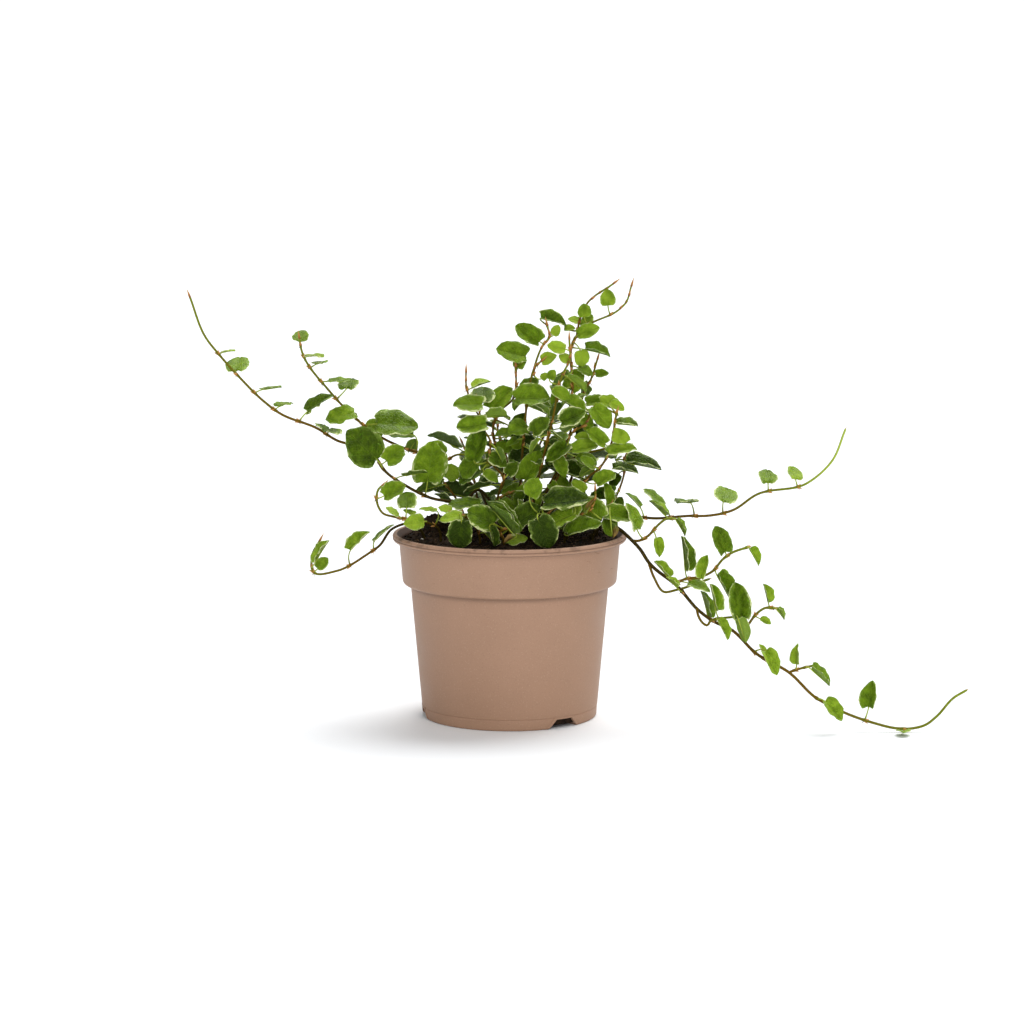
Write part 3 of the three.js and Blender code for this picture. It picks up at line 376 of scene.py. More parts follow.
print(len(STEMS), "runners and stems so far")

# %% [markdown]
# ## Stems on the left
# The left side is more open: one tall stem, one with a fork and a short one. A fork is a shoot,
# like those of the runners.

# %% Stems on the left
STEMS |= {
    "stem_left_tall": dict(
        radius=(0.95, 0.5),
        route=[
            (-1, 6, 94), (-2, 6, 121), (-5, 6, 131), (-8, 6, 150), (-5, 6, 156), (2, 6, 163),
            (3, 6, 167), (3, 6, 179),
        ],
        leaves=[
            (8, 8, 184, 15.5, 180, 15, -55, 0.75), (4, 4, 178, 7.5, 15, 70, 60, 0.9),
            (-10, 3, 158, 15.5, 5, 45, 65, 0.7), (2, 2, 144, 13, 15, 65, 55, 0.72),
            (0, 4, 152, 5, 175, 30, -20, 0.7), (2, 3, 146, 10, -180, -10, -30, 0.75),
            (-7, 3, 138, 8.5, 0, 0, 65, 0.8), (0, 2, 140, 8, 0, -5, 70, 0.8),
        ],
    ),
    "stem_left_forked": dict(
        radius=(0.95, 0.5),
        route=[
            (-8, -12, 94), (-5, -14, 118), (-3, -14, 123), (-10, -14, 134), (-10, -14, 144),
            (-13, -14, 149), (-16, -14, 163),
        ],
        shoots=[
            [(-14, -14, 154), (-18, -12, 160), (-22, -11, 172), (-22, -11, 178)],
        ],
        leaves=[
            (-19, -12, 170, 10, 5, 25, 20, 0.65), (-14, -11, 162, 13.5, 85, 35, 0, 0.9),
            (-14, -16, 162, 14.5, 180, 5, -40, 0.78), (-12, -16, 152, 15, -180, -5, -55, 0.72),
            (-18, -17, 134, 17, 20, 70, 55, 0.6), (-16, -15, 135, 13.5, -170, -50, -55, 0.75),
            (-15, -12, 128, 12.5, -175, -35, -35, 0.75), (-13, -15, 128, 9, -5, -30, 40, 0.8),
            (-10, -16, 136, 10, -5, -25, 55, 0.8), (-1, -16, 126, 8, 10, 55, 65, 0.9),
        ],
    ),
    "stem_left_short": dict(
        radius=(0.8, 0.5),
        route=[
            (-13, -5, 90), (-12, -5, 101), (-9, -5, 108), (-5, -4, 113), (-1, -4, 115),
        ],
        leaves=[
            (8, -3, 115, 12.5, 180, 0, -35, 0.75), (-4, -3, 115, 7.5, -180, -5, -25, 0.7),
            (-5, -5, 112, 15, -5, -35, 40, 0.75), (-30, 2, 100, 8, 180, 10, -20, 0.8),
        ],
    ),
}
print(len(STEMS), "stems with", sum(len(stem["leaves"]) for stem in STEMS.values()), "leaves")

# %% [markdown]
# ## Dice for what follows a rule
# Some of a plant is chance. Python has random numbers of its own, but the rigid model was drawn
# with a small sum that always gives the same ones. Using that sum again, from the same start,
# gives this file the same plant at every run, and the same one as the rigid model.

# %% Seeded dice
DICE_FACTOR, DICE_STEP, DICE_RANGE = 1664525, 1013904223, 4294967296
dice = 20417


def draw():
    """The next number from the plant's dice, from 0 up to 1."""
    global dice
    dice = (dice * DICE_FACTOR + DICE_STEP) % DICE_RANGE
    return dice / DICE_RANGE


def between(least, most):
    """A number drawn between limits."""
    return least + (most - least) * draw()


def stray(x=(-1, 1), y=(-1, 1), z=(-1, 1)):
    """A vector drawn between limits."""
    return Vector((between(*x), between(*y), between(*z)))


def polar(angle, radius=1, height=0):
    """A point at an angle and a distance round the upright axis."""
    return Vector((radius * math.cos(angle), radius * math.sin(angle), height))


print("the dice start at", dice)

# %% [markdown]
# ## Stems at the back
# Five plain stems stand behind, where a picture of such a plant shows little. Measuring them is
# not possible and not needed, as a rule is enough: each leans out as it rises and sways a little,
# with leaves set left and right in turn.

# %% Grow the stems at the back
BACK_STEMS = [  # azimuth, radius of the root, height, lean outwards, leaves
    (28, 27, 50, 25, 6), (62, 24, 66, 20, 8), (93, 20, 56, 21, 8),
    (124, 24, 44, 23, 6), (152, 26, 34, 21, 5),
]
BACK_RADIUS, BACK_FOOT = (0.9, 0.5), 92  # radii, and the height at which they leave the soil
ROUTE_STEPS = 7
FIRST_LEAF = 0.14  # as a share of the height
SWAY, SWAY_ARC = (-5, 5), math.pi * 1.5  # how far to the side, and how much of a wave
STALK, STALK_RISE = (4, 7), math.radians(37)
OFF_LEAN = (35, 80)  # degrees between the lean and a leaf
BACK_LENGTHS, BACK_PITCHES, BACK_ROLLS, BACK_WIDTHS = (13, 21), (0, 40), (-20, 20), (0.7, 0.88)


def back_stem(azimuth, root, height, lean, leaves):
    """Route and leaf rows of one stem at the back."""
    sway = between(*SWAY)

    def point(t):
        """The place at a share of the way up."""
        radius = root + lean * t * t
        turn = math.radians(azimuth) + sway * math.sin(t * SWAY_ARC) / radius
        return polar(turn, radius, BACK_FOOT + height * t)

    rows = []
    for i in range(leaves):
        heading = azimuth + (1 if i % 2 else -1) * between(*OFF_LEAN)
        stalk = between(*STALK)
        out, rise = stalk * math.cos(STALK_RISE), stalk * math.sin(STALK_RISE)
        foot = point(FIRST_LEAF + (1 - FIRST_LEAF) * i / leaves)
        foot += polar(math.radians(heading), out, rise)
        length = between(*BACK_LENGTHS)
        looks = [between(*limits) for limits in (BACK_PITCHES, BACK_ROLLS, BACK_WIDTHS)]
        rows.append([*foot, length, heading, *looks])
    route = [point(i / ROUTE_STEPS) for i in range(ROUTE_STEPS + 1)]
    return dict(radius=BACK_RADIUS, route=route, leaves=rows)


for n, row in enumerate(BACK_STEMS, 1):
    STEMS[f"stem_back_{n}"] = back_stem(*row)
print(len(STEMS), "stems in all")

# %% [markdown]
# ## What makes each leaf its own
# No two leaves of a fig are alike: the flanks differ a little, the edge waves, the tip droops.
# Each leaf takes three places on the outline of each flank, the lobe behind the foot, the widest
# place and the shoulder near the tip, and shifts them by the dice. A young leaf, under 11 mm
# long, is rounder.

# %% Shape numbers for every leaf
FULL_WIDTH = 0.8  # width of a leaf laid flat, in lengths
YOUNG_LENGTH = 11
OUTLINE = [(-0.07, 0.68), (0.32, 1.06), (0.75, 0.78)]  # along, and out in half widths
YOUNG_OUTLINE = [(0.13, 0.96), (0.64, 0.9)]
LEAST_FOLD = 0.16  # radians
ALONG_CHANCE, OUT_CHANCE, LIFT_CHANCE = (-0.035, 0.035), (0.88, 1.08), (-0.045, 0.045)
DROOPS, LOPSIDED = (0.02, 0.16), (-0.04, 0.04)


def leaf_form(length, width):
    """Fold, outline of both flanks, droop and lopsidedness of a leaf."""
    flanks = []
    for side in (1, -1):
        places = []
        for along, out in YOUNG_OUTLINE if length < YOUNG_LENGTH else OUTLINE:
            along_here = along + between(*ALONG_CHANCE)
            out_here = side * out * between(*OUT_CHANCE)
            places.append((along_here, out_here, between(*LIFT_CHANCE)))
        flanks.append(places)
    fold = max(LEAST_FOLD, math.acos(min(1, width / FULL_WIDTH)))
    return dict(fold=fold, flanks=flanks, droop=between(*DROOPS), lopsided=between(*LOPSIDED))


for stem in STEMS.values():
    stem["forms"] = [leaf_form(row[3], row[7]) for row in stem["leaves"]]
print(sum(len(stem["forms"]) for stem in STEMS.values()), "leaves have a form")

# %% [markdown]
# ## A leaf in space
# A leaf stands on its foot and has three axes: along its rib, out to one side, and up from its
# face. Any place on it is a step along each of them, bent by its fold and droop. The same sum
# later works in the nodes, and here it tells where a leaf touches something else.

# %% A leaf in space
RIGID_BLADE = 0.65  # thickness in the rigid model
SPOT_STEP = 2.5  # the most between two spots of a blade, in millimetres
SPOTS_FROM, SPOTS_SPAN = 0.15, 0.8  # the part of a sine that narrows them towards both ends


class Leaf:
    """A leaf's place, its three axes and its form, all in millimetres."""

    def __init__(self, row, form, turn=(0, 0, 0), dry=0):
        x, y, z, self.length, heading, pitch, roll, width = row
        shift, tip_up, turn_roll = turn
        h, p, r = (math.radians(v) for v in (heading, pitch + tip_up, roll + turn_roll))
        self.foot = Vector((x, y + shift, z))
        self.along = polar(h, math.cos(p), math.sin(p))
        side = UP.cross(self.along).normalized()
        face = self.along.cross(side)
        self.side = side * math.cos(r) + face * math.sin(r)
        self.face = face * math.cos(r) - side * math.sin(r)
        self.form, self.dry = form, dry
        self.half_width = FULL_WIDTH * self.length * max(1, width / FULL_WIDTH) / 2

    def point(self, along, out=0, lift=0):
        """A place on the blade."""
        form, length = self.form, self.length
        reach = out * self.half_width
        height = abs(reach) * math.sin(form["fold"])
        height += (lift - form["droop"] * along * along) * length
        lateral = reach * math.cos(form["fold"]) + form["lopsided"] * along * length
        return self.foot + self.along * along * length + self.side * lateral + self.face * height

    def corners(self):
        """The corners that the rigid blade has."""
        half = self.face * (RIGID_BLADE / 2 / math.cos(self.form["fold"]))
        places = [(1, 0, 0)] + [place for flank in self.form["flanks"] for place in flank]
        return [self.point(*place) + half * way for place in places for way in (1, -1)]

    def spots(self):
        """Places all over the blade."""
        rows, columns = (math.ceil(size / SPOT_STEP) for size in (self.length, self.half_width))
        return [
            self.point(a, o / columns * math.sin(math.pi * (SPOTS_FROM + SPOTS_SPAN * a)))
            for a in (i / rows for i in range(rows + 1)) for o in range(-columns, columns + 1)
        ]


row, form = STEMS["stem_top_right"]["leaves"][0], STEMS["stem_top_right"]["forms"][0]
print(len(Leaf(row, form).spots()), "spots on a leaf of", row[3], "mm")

# %% [markdown]
# ## Which way each leaf ended up
# In the rigid model a leaf that would cross another stem was turned or shifted a little, and a
# leaf with no room was left out. The finer leaves must lie where the rigid ones do. The turns
# that were tried are few, so each one is held against the corners of the rigid solid, and the one
# whose corners are really there is taken.

# %% Find every leaf in its rigid solid
TURNS = [  # shift along y in millimetres, tip up and roll in degrees
    (0, 0, 0), (2, 0, 0), (-2, 0, 0), (4, 0, 0), (-4, 0, 0), (0, 12, 0), (0, -12, 0), (3, 0, 20),
    (-3, 0, -20), (6, 0, 0), (-6, 0, 0), (4, 15, -20), (-4, -15, 20), (8, 10, 25), (-8, 10, -25),
    (3, 30, 40), (-3, -30, 40), (6, -25, -50), (-6, 30, 50), (0, 45, 0), (0, -45, 0),
]
NEAR = 0.05  # how close a corner has to be, in millimetres
FOUND = 3  # corners that have to be there


def find_leaves(name):
    """The leaves of a stem as they stand in its rigid solid."""
    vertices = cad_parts[name].data.vertices
    tree = kdtree.KDTree(len(vertices))
    for i, vertex in enumerate(vertices):
        tree.insert(vertex.co / MM, i)
    tree.balance()
    found = []
    for row, form in zip(STEMS[name]["leaves"], STEMS[name]["forms"]):
        tried = [Leaf(row, form, turn) for turn in TURNS]
        hits = [sum(tree.find(corner)[2] < NEAR for corner in leaf.corners()) for leaf in tried]
        if max(hits) >= FOUND:
            found.append(tried[hits.index(max(hits))])
    return found


LEAVES = {name: find_leaves(name) for name in STEMS}
print(sum(map(len, LEAVES.values())), "leaves found in the rigid model")

# %% [markdown]
# ## A smooth path through a route
# A route is a few points, and a stem bends smoothly through them. Blender's own curves could do
# that, but the leaves need places and directions on the path before there is any mesh. So each
# piece between two points is a smooth step that leaves and arrives in the direction of its
# neighbours.

# %% A smooth path
def hermite(t):
    """Weights of a smooth step: start, way out of it, end, way into it."""
    return 2 * t**3 - 3 * t**2 + 1, t**3 - 2 * t**2 + t, 3 * t**2 - 2 * t**3, t**3 - t**2


def smooth_path(points, spacing=1.3):
    """Points along a smooth curve through the given ones, about spacing millimetres apart."""
    points = [Vector(p) for p in points]
    gaps = [(b - a).length for a, b in zip(points, points[1:])]
    slopes = [(b - a) / gap for a, b, gap in zip(points, points[1:], gaps)]
    ways = [slopes[0]]
    for i in range(1, len(gaps)):
        ways.append((slopes[i - 1] * gaps[i] + slopes[i] * gaps[i - 1]) / (gaps[i] + gaps[i - 1]))
    ways.append(slopes[-1])
    path = [points[0]]
    for i, gap in enumerate(gaps):
        steps = max(2, round(gap / spacing))
        for k in range(1, steps + 1):
            start, leave, stop, arrive = hermite(k / steps)
            path.append(
                points[i] * start + ways[i] * gap * leave
                + points[i + 1] * stop + ways[i + 1] * gap * arrive
            )
    return path


def routes_of(stem):
    """The route of a stem and those of its shoots."""
    return [stem["route"]] + stem.get("shoots", [])


print(len(smooth_path(STEMS["stem_top_right"]["route"])), "points along the tallest stem")

# %% [markdown]
# ## A small leaf on offer
# The rigid model holds the larger leaves alone. In the real bush small leaves on short stalks
# fill the space between them. Such a leaf faces up and out, give or take, so its axes follow from
# the bearing in which it leaves the stem, with some chance in each.

# %% A small leaf on offer
FILL_LENGTHS, FILL_WIDTHS = (8, 15), (0.5, 0.8)
FILL_STALKS, FILL_RISES = (2.5, 6), (0, 2.5)  # from stem to leaf, outwards and up
FACE_OUT, FACE_CHANCE = 0.45, 0.75  # how far the face leans out, and how far by chance
ALONG_OUT, ALONG_DOWN, WAY_CHANCE = 0.6, 0.3, 0.8  # the same for the way that the tip heads


def offered_leaf(joint, bearing):
    """A small leaf on a short stalk from the joint, facing up and out."""
    out = polar(bearing)
    face = (out * FACE_OUT + UP + stray() * FACE_CHANCE).normalized()
    along = out * ALONG_OUT - UP * ALONG_DOWN + stray() * WAY_CHANCE
    along = (along - face * along.dot(face)).normalized()
    side = UP.cross(along).normalized()
    heading = math.degrees(math.atan2(along.y, along.x))
    pitch = math.degrees(math.asin(along.z))
    roll = math.degrees(math.atan2(-face.dot(side), face.dot(along.cross(side))))
    length = between(*FILL_LENGTHS)
    foot = joint + out * between(*FILL_STALKS) + UP * between(*FILL_RISES)
    width = between(*FILL_WIDTHS)
    return Leaf((*foot, length, heading, pitch, roll, width), leaf_form(length, width))


print("a small leaf is", FILL_LENGTHS[0], "to", FILL_LENGTHS[1], "mm long")

# %% [markdown]
# ## Fill the bush
# Scattering leaves over a volume would leave some of them hanging in the air. Instead the rule
# walks up every stem of the bush, turns on by a fixed angle at each step, as a plant does, and
# offers a leaf there. The leaf stays only where it has room and keeps inside the outline of the
# bush.

# %% Fill the bush
FILL_STEP = 2.6  # millimetres of stem from one offer to the next
FILL_TURN = 137.5  # degrees from one offer to the next
ROOM, WOOD_ROOM = 2.2, 1.32  # clearance from other leaves and from stems, in millimetres
BUSH = [  # height, and how far the bush reaches to the left and right there
    (94, -40, 56), (105, -38, 60), (120, -30, 60), (140, -27, 60), (158, -22, 58), (168, -14, 48),
    (178, -6, 44),
]


def fits_bush(spots):
    """Whether all places lie inside the outline of the bush."""
    heights, left, right = zip(*BUSH)
    return all(
        heights[0] < p.z < heights[-1]
        and np.interp(p.z, heights, left) < p.x < np.interp(p.z, heights, right)
        for p in spots
    )


def fill_bush():
    """Adds the small leaves to LEAVES and gives their number."""
    taken = np.array([p for leaves in LEAVES.values() for leaf in leaves for p in leaf.spots()])
    wood = np.array([
        p for stem in STEMS.values() for route in routes_of(stem) for p in smooth_path(route)
    ])
    count = 0
    for name in (name for name in STEMS if name.startswith("stem")):
        bearing = between(0, 2 * math.pi)
        for joint in smooth_path(STEMS[name]["route"], FILL_STEP)[1:-3]:
            bearing += math.radians(FILL_TURN)
            leaf = offered_leaf(joint, bearing)
            spots = leaf.spots()
            here = np.array(spots)[:, None, :]
            if not fits_bush(spots) or np.linalg.norm(here - taken, axis=2).min() < ROOM:
                continue
            if np.linalg.norm(here - wood, axis=2).min() < WOOD_ROOM:
                continue
            LEAVES[name].append(leaf)
            taken = np.vstack([taken, here[:, 0]])
            count += 1
    return count


print(fill_bush(), "small leaves added")

# %% [markdown]
# ## Withered leaves
# A few old leaves low in the front have curled up lengthwise and dried. They are leaves like the
# others, folded nearly shut, so a short table of places is enough.

# %% Add the withered leaves
WITHERED = [  # stem, foot, length, heading and pitch in degrees, and how dry the leaf is
    ("stem_front_middle", (1.5, -42, 100.5), 19, 180, 52, 0.35),
    ("stem_front_middle", (3, -44, 98.5), 6.5, 170, -22, 1),
    ("stem_front_bud", (38.5, -28, 108.5), 9.5, 10, 60, 1),
    ("stem_right_low", (51, -29, 103), 7.5, -70, -60, 0.8),
]
CURLED_UP, ROLLED = 1.3, (-60, 60)  # fold in radians, roll in degrees
GROUND = 1.0  # the lowest that a leaf may hang, in millimetres

for name, foot, length, heading, pitch, dry in WITHERED:
    form = leaf_form(length, FULL_WIDTH) | {"fold": CURLED_UP}
    row = (*foot, length, heading, pitch, between(*ROLLED), FULL_WIDTH)
    LEAVES[name].append(Leaf(row, form, dry=dry))
for leaf in (leaf for leaves in LEAVES.values() for leaf in leaves):
    leaf.foot.z += max(0, GROUND - min(p.z for p in leaf.spots()))
print(sum(map(len, LEAVES.values())), "leaves in all")

# %% [markdown]
# ## Sums for node trees
# Both the shapes and the finishes are made of nodes, and a tree of fifty sums is hard to read as
# a list of links. So the output of a node is wrapped as a feed, and a sum written with feeds adds
# the nodes that work it out.

# %% Feeds
class Feed:
    """The output of a node. What is worked out from it becomes a node too."""

    def __init__(self, wires, socket):
        self.wires, self.socket = wires, socket

    def out(self, name):
        """Another output of the same node."""
        return Feed(self.wires, self.socket.node.outputs[name])

    def math(self, operation, *others):
        """A sum of this value and others."""
        return self.wires.put("ShaderNodeMath", self, *others, operation=operation)

    def __add__(self, other):
        return self.math("ADD", other)

    def __sub__(self, other):
        return self.math("SUBTRACT", other)

    def __rsub__(self, other):
        return self.wires.put("ShaderNodeMath", other, self, operation="SUBTRACT")

    def __mul__(self, other):
        return self.math("MULTIPLY", other)

    def __truediv__(self, other):
        return self.math("DIVIDE", other)

    def __abs__(self):
        return self.math("ABSOLUTE")

    def step(self, low, high, to_low=0.0, to_high=1.0):
        """A soft step from to_low to to_high as the value goes from low to high."""
        feeds = (self, low, high, to_low, to_high)
        return self.wires.put("ShaderNodeMapRange", *feeds, interpolation_type="SMOOTHSTEP")

    def vector(self, operation, *others):
        """A sum of this vector and others."""
        return self.wires.put("ShaderNodeVectorMath", self, *others, operation=operation)

    def parts(self):
        """The three parts of a vector."""
        split = self.wires.put("ShaderNodeSeparateXYZ", self)
        return [split.out(axis) for axis in "XYZ"]


print("a feed can be used with", ", ".join(name for name in vars(Feed) if name[0] != "_"))

# %% [markdown]
# ## Wires of a node tree
# One helper adds any node, and joins its sockets in the order in which Blender shows them. A
# socket takes a feed from another node, or a value of its own where nothing is joined to it.

# %% Wires
class Wires:
    """Adds nodes to a tree. What it joins is a feed, a value to set, or None to leave alone."""

    def __init__(self, tree):
        self.tree = tree

    def put(self, kind, *feeds, **settings):
        """Adds a node and gives its first output."""
        node = self.tree.nodes.new(kind)
        for key, value in settings.items():
            setattr(node, key, value)
        for socket, feed in zip([s for s in node.inputs if s.enabled], feeds):
            self.join(feed, socket)
        return Feed(self, next(s for s in node.outputs if s.enabled))

    def join(self, feed, socket):
        """Joins a feed to a socket, or sets the socket's own value."""
        if isinstance(feed, Feed):
            self.tree.links.new(feed.socket, socket)
        elif feed is not None:
            socket.default_value = feed

    def joined(self, *shapes):
        """All shapes as one."""
        node = self.tree.nodes.new("GeometryNodeJoinGeometry")
        for shape in shapes:
            self.join(shape, node.inputs[0])
        return Feed(self, node.outputs[0])


print("wires can be used with", ", ".join(name for name in vars(Wires) if name[0] != "_"))

# %% [markdown]
# ## Plain solids
# What a tree starts from is a plain mesh: the middle lines of a stem, one blade, one sheath, a
# ring of the pot. Each is a list of corners and faces, and most are rings of corners with faces
# between them, so two helpers make them all.

# %% Helpers for plain solids
def added(name, data):
    """A new object in the scene."""
    thing = bpy.data.objects.new(name, data)
    scene.collection.objects.link(thing)
    return thing


def clear_away(*things):
    """Removes objects that have done their work."""
    for thing in things:
        bpy.data.objects.remove(thing)


def solid(name, corners, faces=(), edges=(), **attributes):
    """A mesh object. Each attribute is a list with one value or vector a corner."""
    mesh = bpy.data.meshes.new(name)
    mesh.from_pydata([tuple(v) for v in corners], list(edges), list(faces))
    for key, values in attributes.items():
        flat = np.array([tuple(v) if hasattr(v, "__len__") else v for v in values], dtype=float)
        kind, field = ("FLOAT_VECTOR", "vector") if flat.ndim == 2 else ("FLOAT", "value")
        mesh.attributes.new(key, kind, "POINT").data.foreach_set(field, flat.ravel())
    return added(name, mesh)


def circle(radius, height, sides):
    """The corners of one round ring. On the axis it is a single point."""
    if radius < 1e-6:
        return [Vector((0, 0, height))]
    return [polar(2 * math.pi * k / sides, radius, height) for k in range(sides)]


def loft(name, rings, **attributes):
    """A closed solid over rings of corners. An end with more than one corner gets a lid."""
    starts = np.cumsum([0] + [len(ring) for ring in rings]).tolist()
    faces = []
    for n, (low, high) in enumerate(zip(rings, rings[1:])):
        sides = max(len(low), len(high))
        for k in range(sides):
            below = [starts[n] + i % len(low) for i in (k, (k + 1) % sides)]
            above = [starts[n + 1] + i % len(high) for i in ((k + 1) % sides, k)]
            faces.append(list(dict.fromkeys(below + above)))
    if len(rings[0]) > 1:
        faces.append(range(starts[1])[::-1])
    if len(rings[-1]) > 1:
        faces.append(range(starts[-2], starts[-1]))
    return solid(name, [corner for ring in rings for corner in ring], faces, **attributes)


print(len(circle(1, 0, 6)), "corners in a ring of six sides,", len(circle(0, 0, 6)), "on the axis")

# %% [markdown]
# ## Trees that grow a piece
# A tree of Geometry Nodes reads its sizes, shapes and finishes from named inputs. It is run once:
# its result becomes the piece's own plain mesh, because instances and live modifiers would be
# lost when the model is exported.

# %% Helpers for growing
def geometry_tree(name, **inputs):
    """A tree with named inputs, given by kind. Gives its wires, its inputs as feeds and its end."""
    tree = bpy.data.node_groups.new(name, "GeometryNodeTree")
    tree.interface.new_socket(name="Geometry", in_out="OUTPUT", socket_type="NodeSocketGeometry")
    for kind, labels in {"Geometry": ["Geometry"], **inputs}.items():
        for label in labels:
            tree.interface.new_socket(name=label, in_out="INPUT", socket_type="NodeSocket" + kind)
    wires = Wires(tree)
    source = {s.name: Feed(wires, s) for s in tree.nodes.new("NodeGroupInput").outputs if s.name}
    return wires, source, tree.nodes.new("NodeGroupOutput").inputs["Geometry"]


def settle(piece):
    """Makes the result of the modifiers the piece's own plain mesh."""
    evaluated = piece.evaluated_get(bpy.context.evaluated_depsgraph_get())
    made = bpy.data.meshes.new_from_object(evaluated)
    piece.modifiers.clear()
    piece.data = made


def grown(name, mesh, tree, values):
    """A plain object with what the tree makes of the mesh."""
    piece = added(name, mesh)
    modifier = piece.modifiers.new("grow", "NODES")
    modifier.node_group = tree
    for item in tree.interface.items_tree:
        if item.in_out == "INPUT" and item.name in values:
            modifier[item.identifier] = values[item.name]
    settle(piece)
    return piece


print(len(bpy.data.node_groups), "trees so far")

# %% [markdown]
# ## The blade that every leaf is made from
# A fig leaf is a heart-shaped blade with a rounded tip, a little puffed between its veins. Each
# could be drawn by hand, but that would be nearly three hundred outlines. Here one blade is a
# small grid with both faces, and every grid point only knows how far along the rib and how far
# out it sits, and how much the lobe, the widest place and the shoulder of a flank count there.
# The outline is a smooth curve through those places, so their weights are the same for every
# leaf.

# %% Weights along the border
LOBE_BREADTH = 1.1  # how wide the foot starts
TIP_POINT = 0.1  # how much of a point the tip has
TIP_BREADTH = 0.95  # and how wide it starts


def border_weights(v):
    """How much lobe, widest place, shoulder and tip count at v along the border, along and out."""
    eye, zero = np.eye(4), np.zeros(4)
    along, out = [zero, *eye], [zero, *eye[:3], zero]
    ends = ((zero, TIP_POINT * eye[3]), (LOBE_BREADTH * eye[0], -TIP_BREADTH * eye[2]))
    k = min(3, int(v * 4))
    start, leave, stop, arrive = hermite(v * 4 - k)
    weights = []
    for at, (first, last) in zip((along, out), ends):
        way = [first] + [(at[i + 1] - at[i - 1]) / 2 for i in (1, 2, 3)] + [last]
        weights.append(start * at[k] + leave * way[k] + stop * at[k + 1] + arrive * way[k + 1])
    return weights


print("half way along the border weigh", *(row.round(2).tolist() for row in border_weights(0.5)))

# %% [markdown]
# ## Both faces of the blade
# The grid has an upper and a lower face, closed by a rim, so that a leaf has a real thickness.
# Near the camera a leaf needs many rows to bend smoothly, and a small leaf does with few, so
# there are two.

# %% Blades
LARGE_BLADE = (14, [0, 0.32, 0.62, 0.85, 1])  # rows from foot to tip, shares from rib to edge
SMALL_BLADE = (8, [0, 0.6, 1])
BLADE_HALF = 0.19 * MM  # half its thickness
FLAT_HALF = 0.01  # the same while it lies flat, one unit long
OUTLINE_ALONG, OUTLINE_OUT = zip(*OUTLINE, (1, 0))  # with the tip
BLADE_DATA = ("rib_at", "share", "flank", "above", "hat_along", "tip_along", "hat_out")


def blade_grid(name, row_count, shares):
    """A blade: both faces, closed by a rim."""
    last = len(shares) - 1
    data = {key: [] for key in BLADE_DATA}
    corners, number = [], {}
    for above in (1, -1):
        for j in range(row_count + 1):
            v = j / row_count
            along, out = border_weights(v)
            for i in range(-last, last + 1) if 0 < j < row_count else [0]:
                share, flank = shares[abs(i)], (i > 0) - (i < 0)
                number[above, j, i] = len(corners)
                values = (v, share, flank, above, along[:3], along[3], out[:3])
                for key, value in zip(data, values):
                    data[key].append(value)
                x = v + share * (along @ OUTLINE_ALONG - v)
                y = FULL_WIDTH / 2 * flank * share * (out @ OUTLINE_OUT)
                corners.append((x, y, FLAT_HALF * above))

    def at(above, j, i):
        """The number of a corner. At foot and tip there is only one."""
        return number[above, j, i if 0 < j < row_count else 0]

    faces, rim = [], set()
    for above in (1, -1):
        for j in range(row_count):
            for i in range(-last, last):
                ring = [(j, i), (j + 1, i), (j + 1, i + 1), (j, i + 1)]
                faces.append(list(dict.fromkeys(at(above, *place) for place in ring))[::above])
    for j in range(row_count):
        for i in (last, -last):
            top, bottom = [at(1, j, i), at(1, j + 1, i)], [at(-1, j + 1, i), at(-1, j, i)]
            rim |= {frozenset(top), frozenset(bottom)}
            faces.append(top + bottom if i > 0 else (top + bottom)[::-1])
    blade = solid(name, corners, faces, **data)
    sharp = blade.data.attributes.new("sharp_edge", "BOOLEAN", "EDGE").data
    for n, edge in enumerate(blade.data.edges):
        sharp[n].value = frozenset(edge.vertices) in rim
    return blade


blade = blade_grid("blade", *LARGE_BLADE)
small_blade = blade_grid("small_blade", *SMALL_BLADE)
for shape in (blade, small_blade):
    print(len(shape.data.polygons), "faces in the", shape.name)

# %% [markdown]
# ## A sheath for the joints and tips
# Where a leaf leaves the stem, the fig keeps a dry, pointed, orange-brown scale, and the tip of
# every shoot is wrapped in one. It is a small pointed sleeve, so a few rings and a point are
# enough.

# %% One sheath
SHEATH_RINGS = [(0, 0), (0, 0.7), (0.1, 1), (0.34, 0.95), (0.66, 0.5), (0.88, 0.2), (1, 0)]
SHEATH_SIDES = 7

rings = [circle(radius, height, SHEATH_SIDES) for height, radius in SHEATH_RINGS]
sheath = loft("sheath", rings, sheath_at=[corner.z for ring in rings for corner in ring])
print(len(sheath.data.polygons), "faces in a sheath")

# %% [markdown]
# ## The tree that grows a leafy stem
# The stem, its shoots and the leaf stalks are thin tubes along lines, each with its own
# thickness. The leaves and the sheaths repeat, so they are instances that are made real at the
# end. The blade is then bent by its weights: along the rib, out along the side, and up along the
# face of its own leaf.

# %% Tubes, sheaths and flat blades
wires, source, end = geometry_tree(
    "leafy_stem",
    Object=["Leaf feet", "Sheath places", "Blade", "Small blade", "Sheath"], Int=["Twig sides"],
    Float=["Small below", "Ripple", "Puff", "Unevenness"],
    Material=["Twig finish", "Leaf finish", "Sheath finish"],
)
put = wires.put


# these four work on whichever tree is at hand under the names put and source
def number(name):
    return put("GeometryNodeInputNamedAttribute", name, data_type="FLOAT")


def triple(name):
    return put("GeometryNodeInputNamedAttribute", name, data_type="FLOAT_VECTOR")


def of_object(label):
    return put("GeometryNodeObjectInfo", source[label]).out("Geometry")


def placed(points, shape, rotation=None, scale=None, only=None):
    """Instances of a shape on points, made real."""
    made = put("GeometryNodeInstanceOnPoints", points, only, shape, None, None, rotation, scale)
    return put("GeometryNodeRealizeInstances", made)


lines = put("GeometryNodeMeshToCurve", source["Geometry"])
ring = put("GeometryNodeCurvePrimitiveCircle", source["Twig sides"], 1.0)
tubes = put("GeometryNodeCurveToMesh", lines, ring, number("thick"), True)
twigs = put("GeometryNodeSetMaterial", tubes, None, source["Twig finish"])

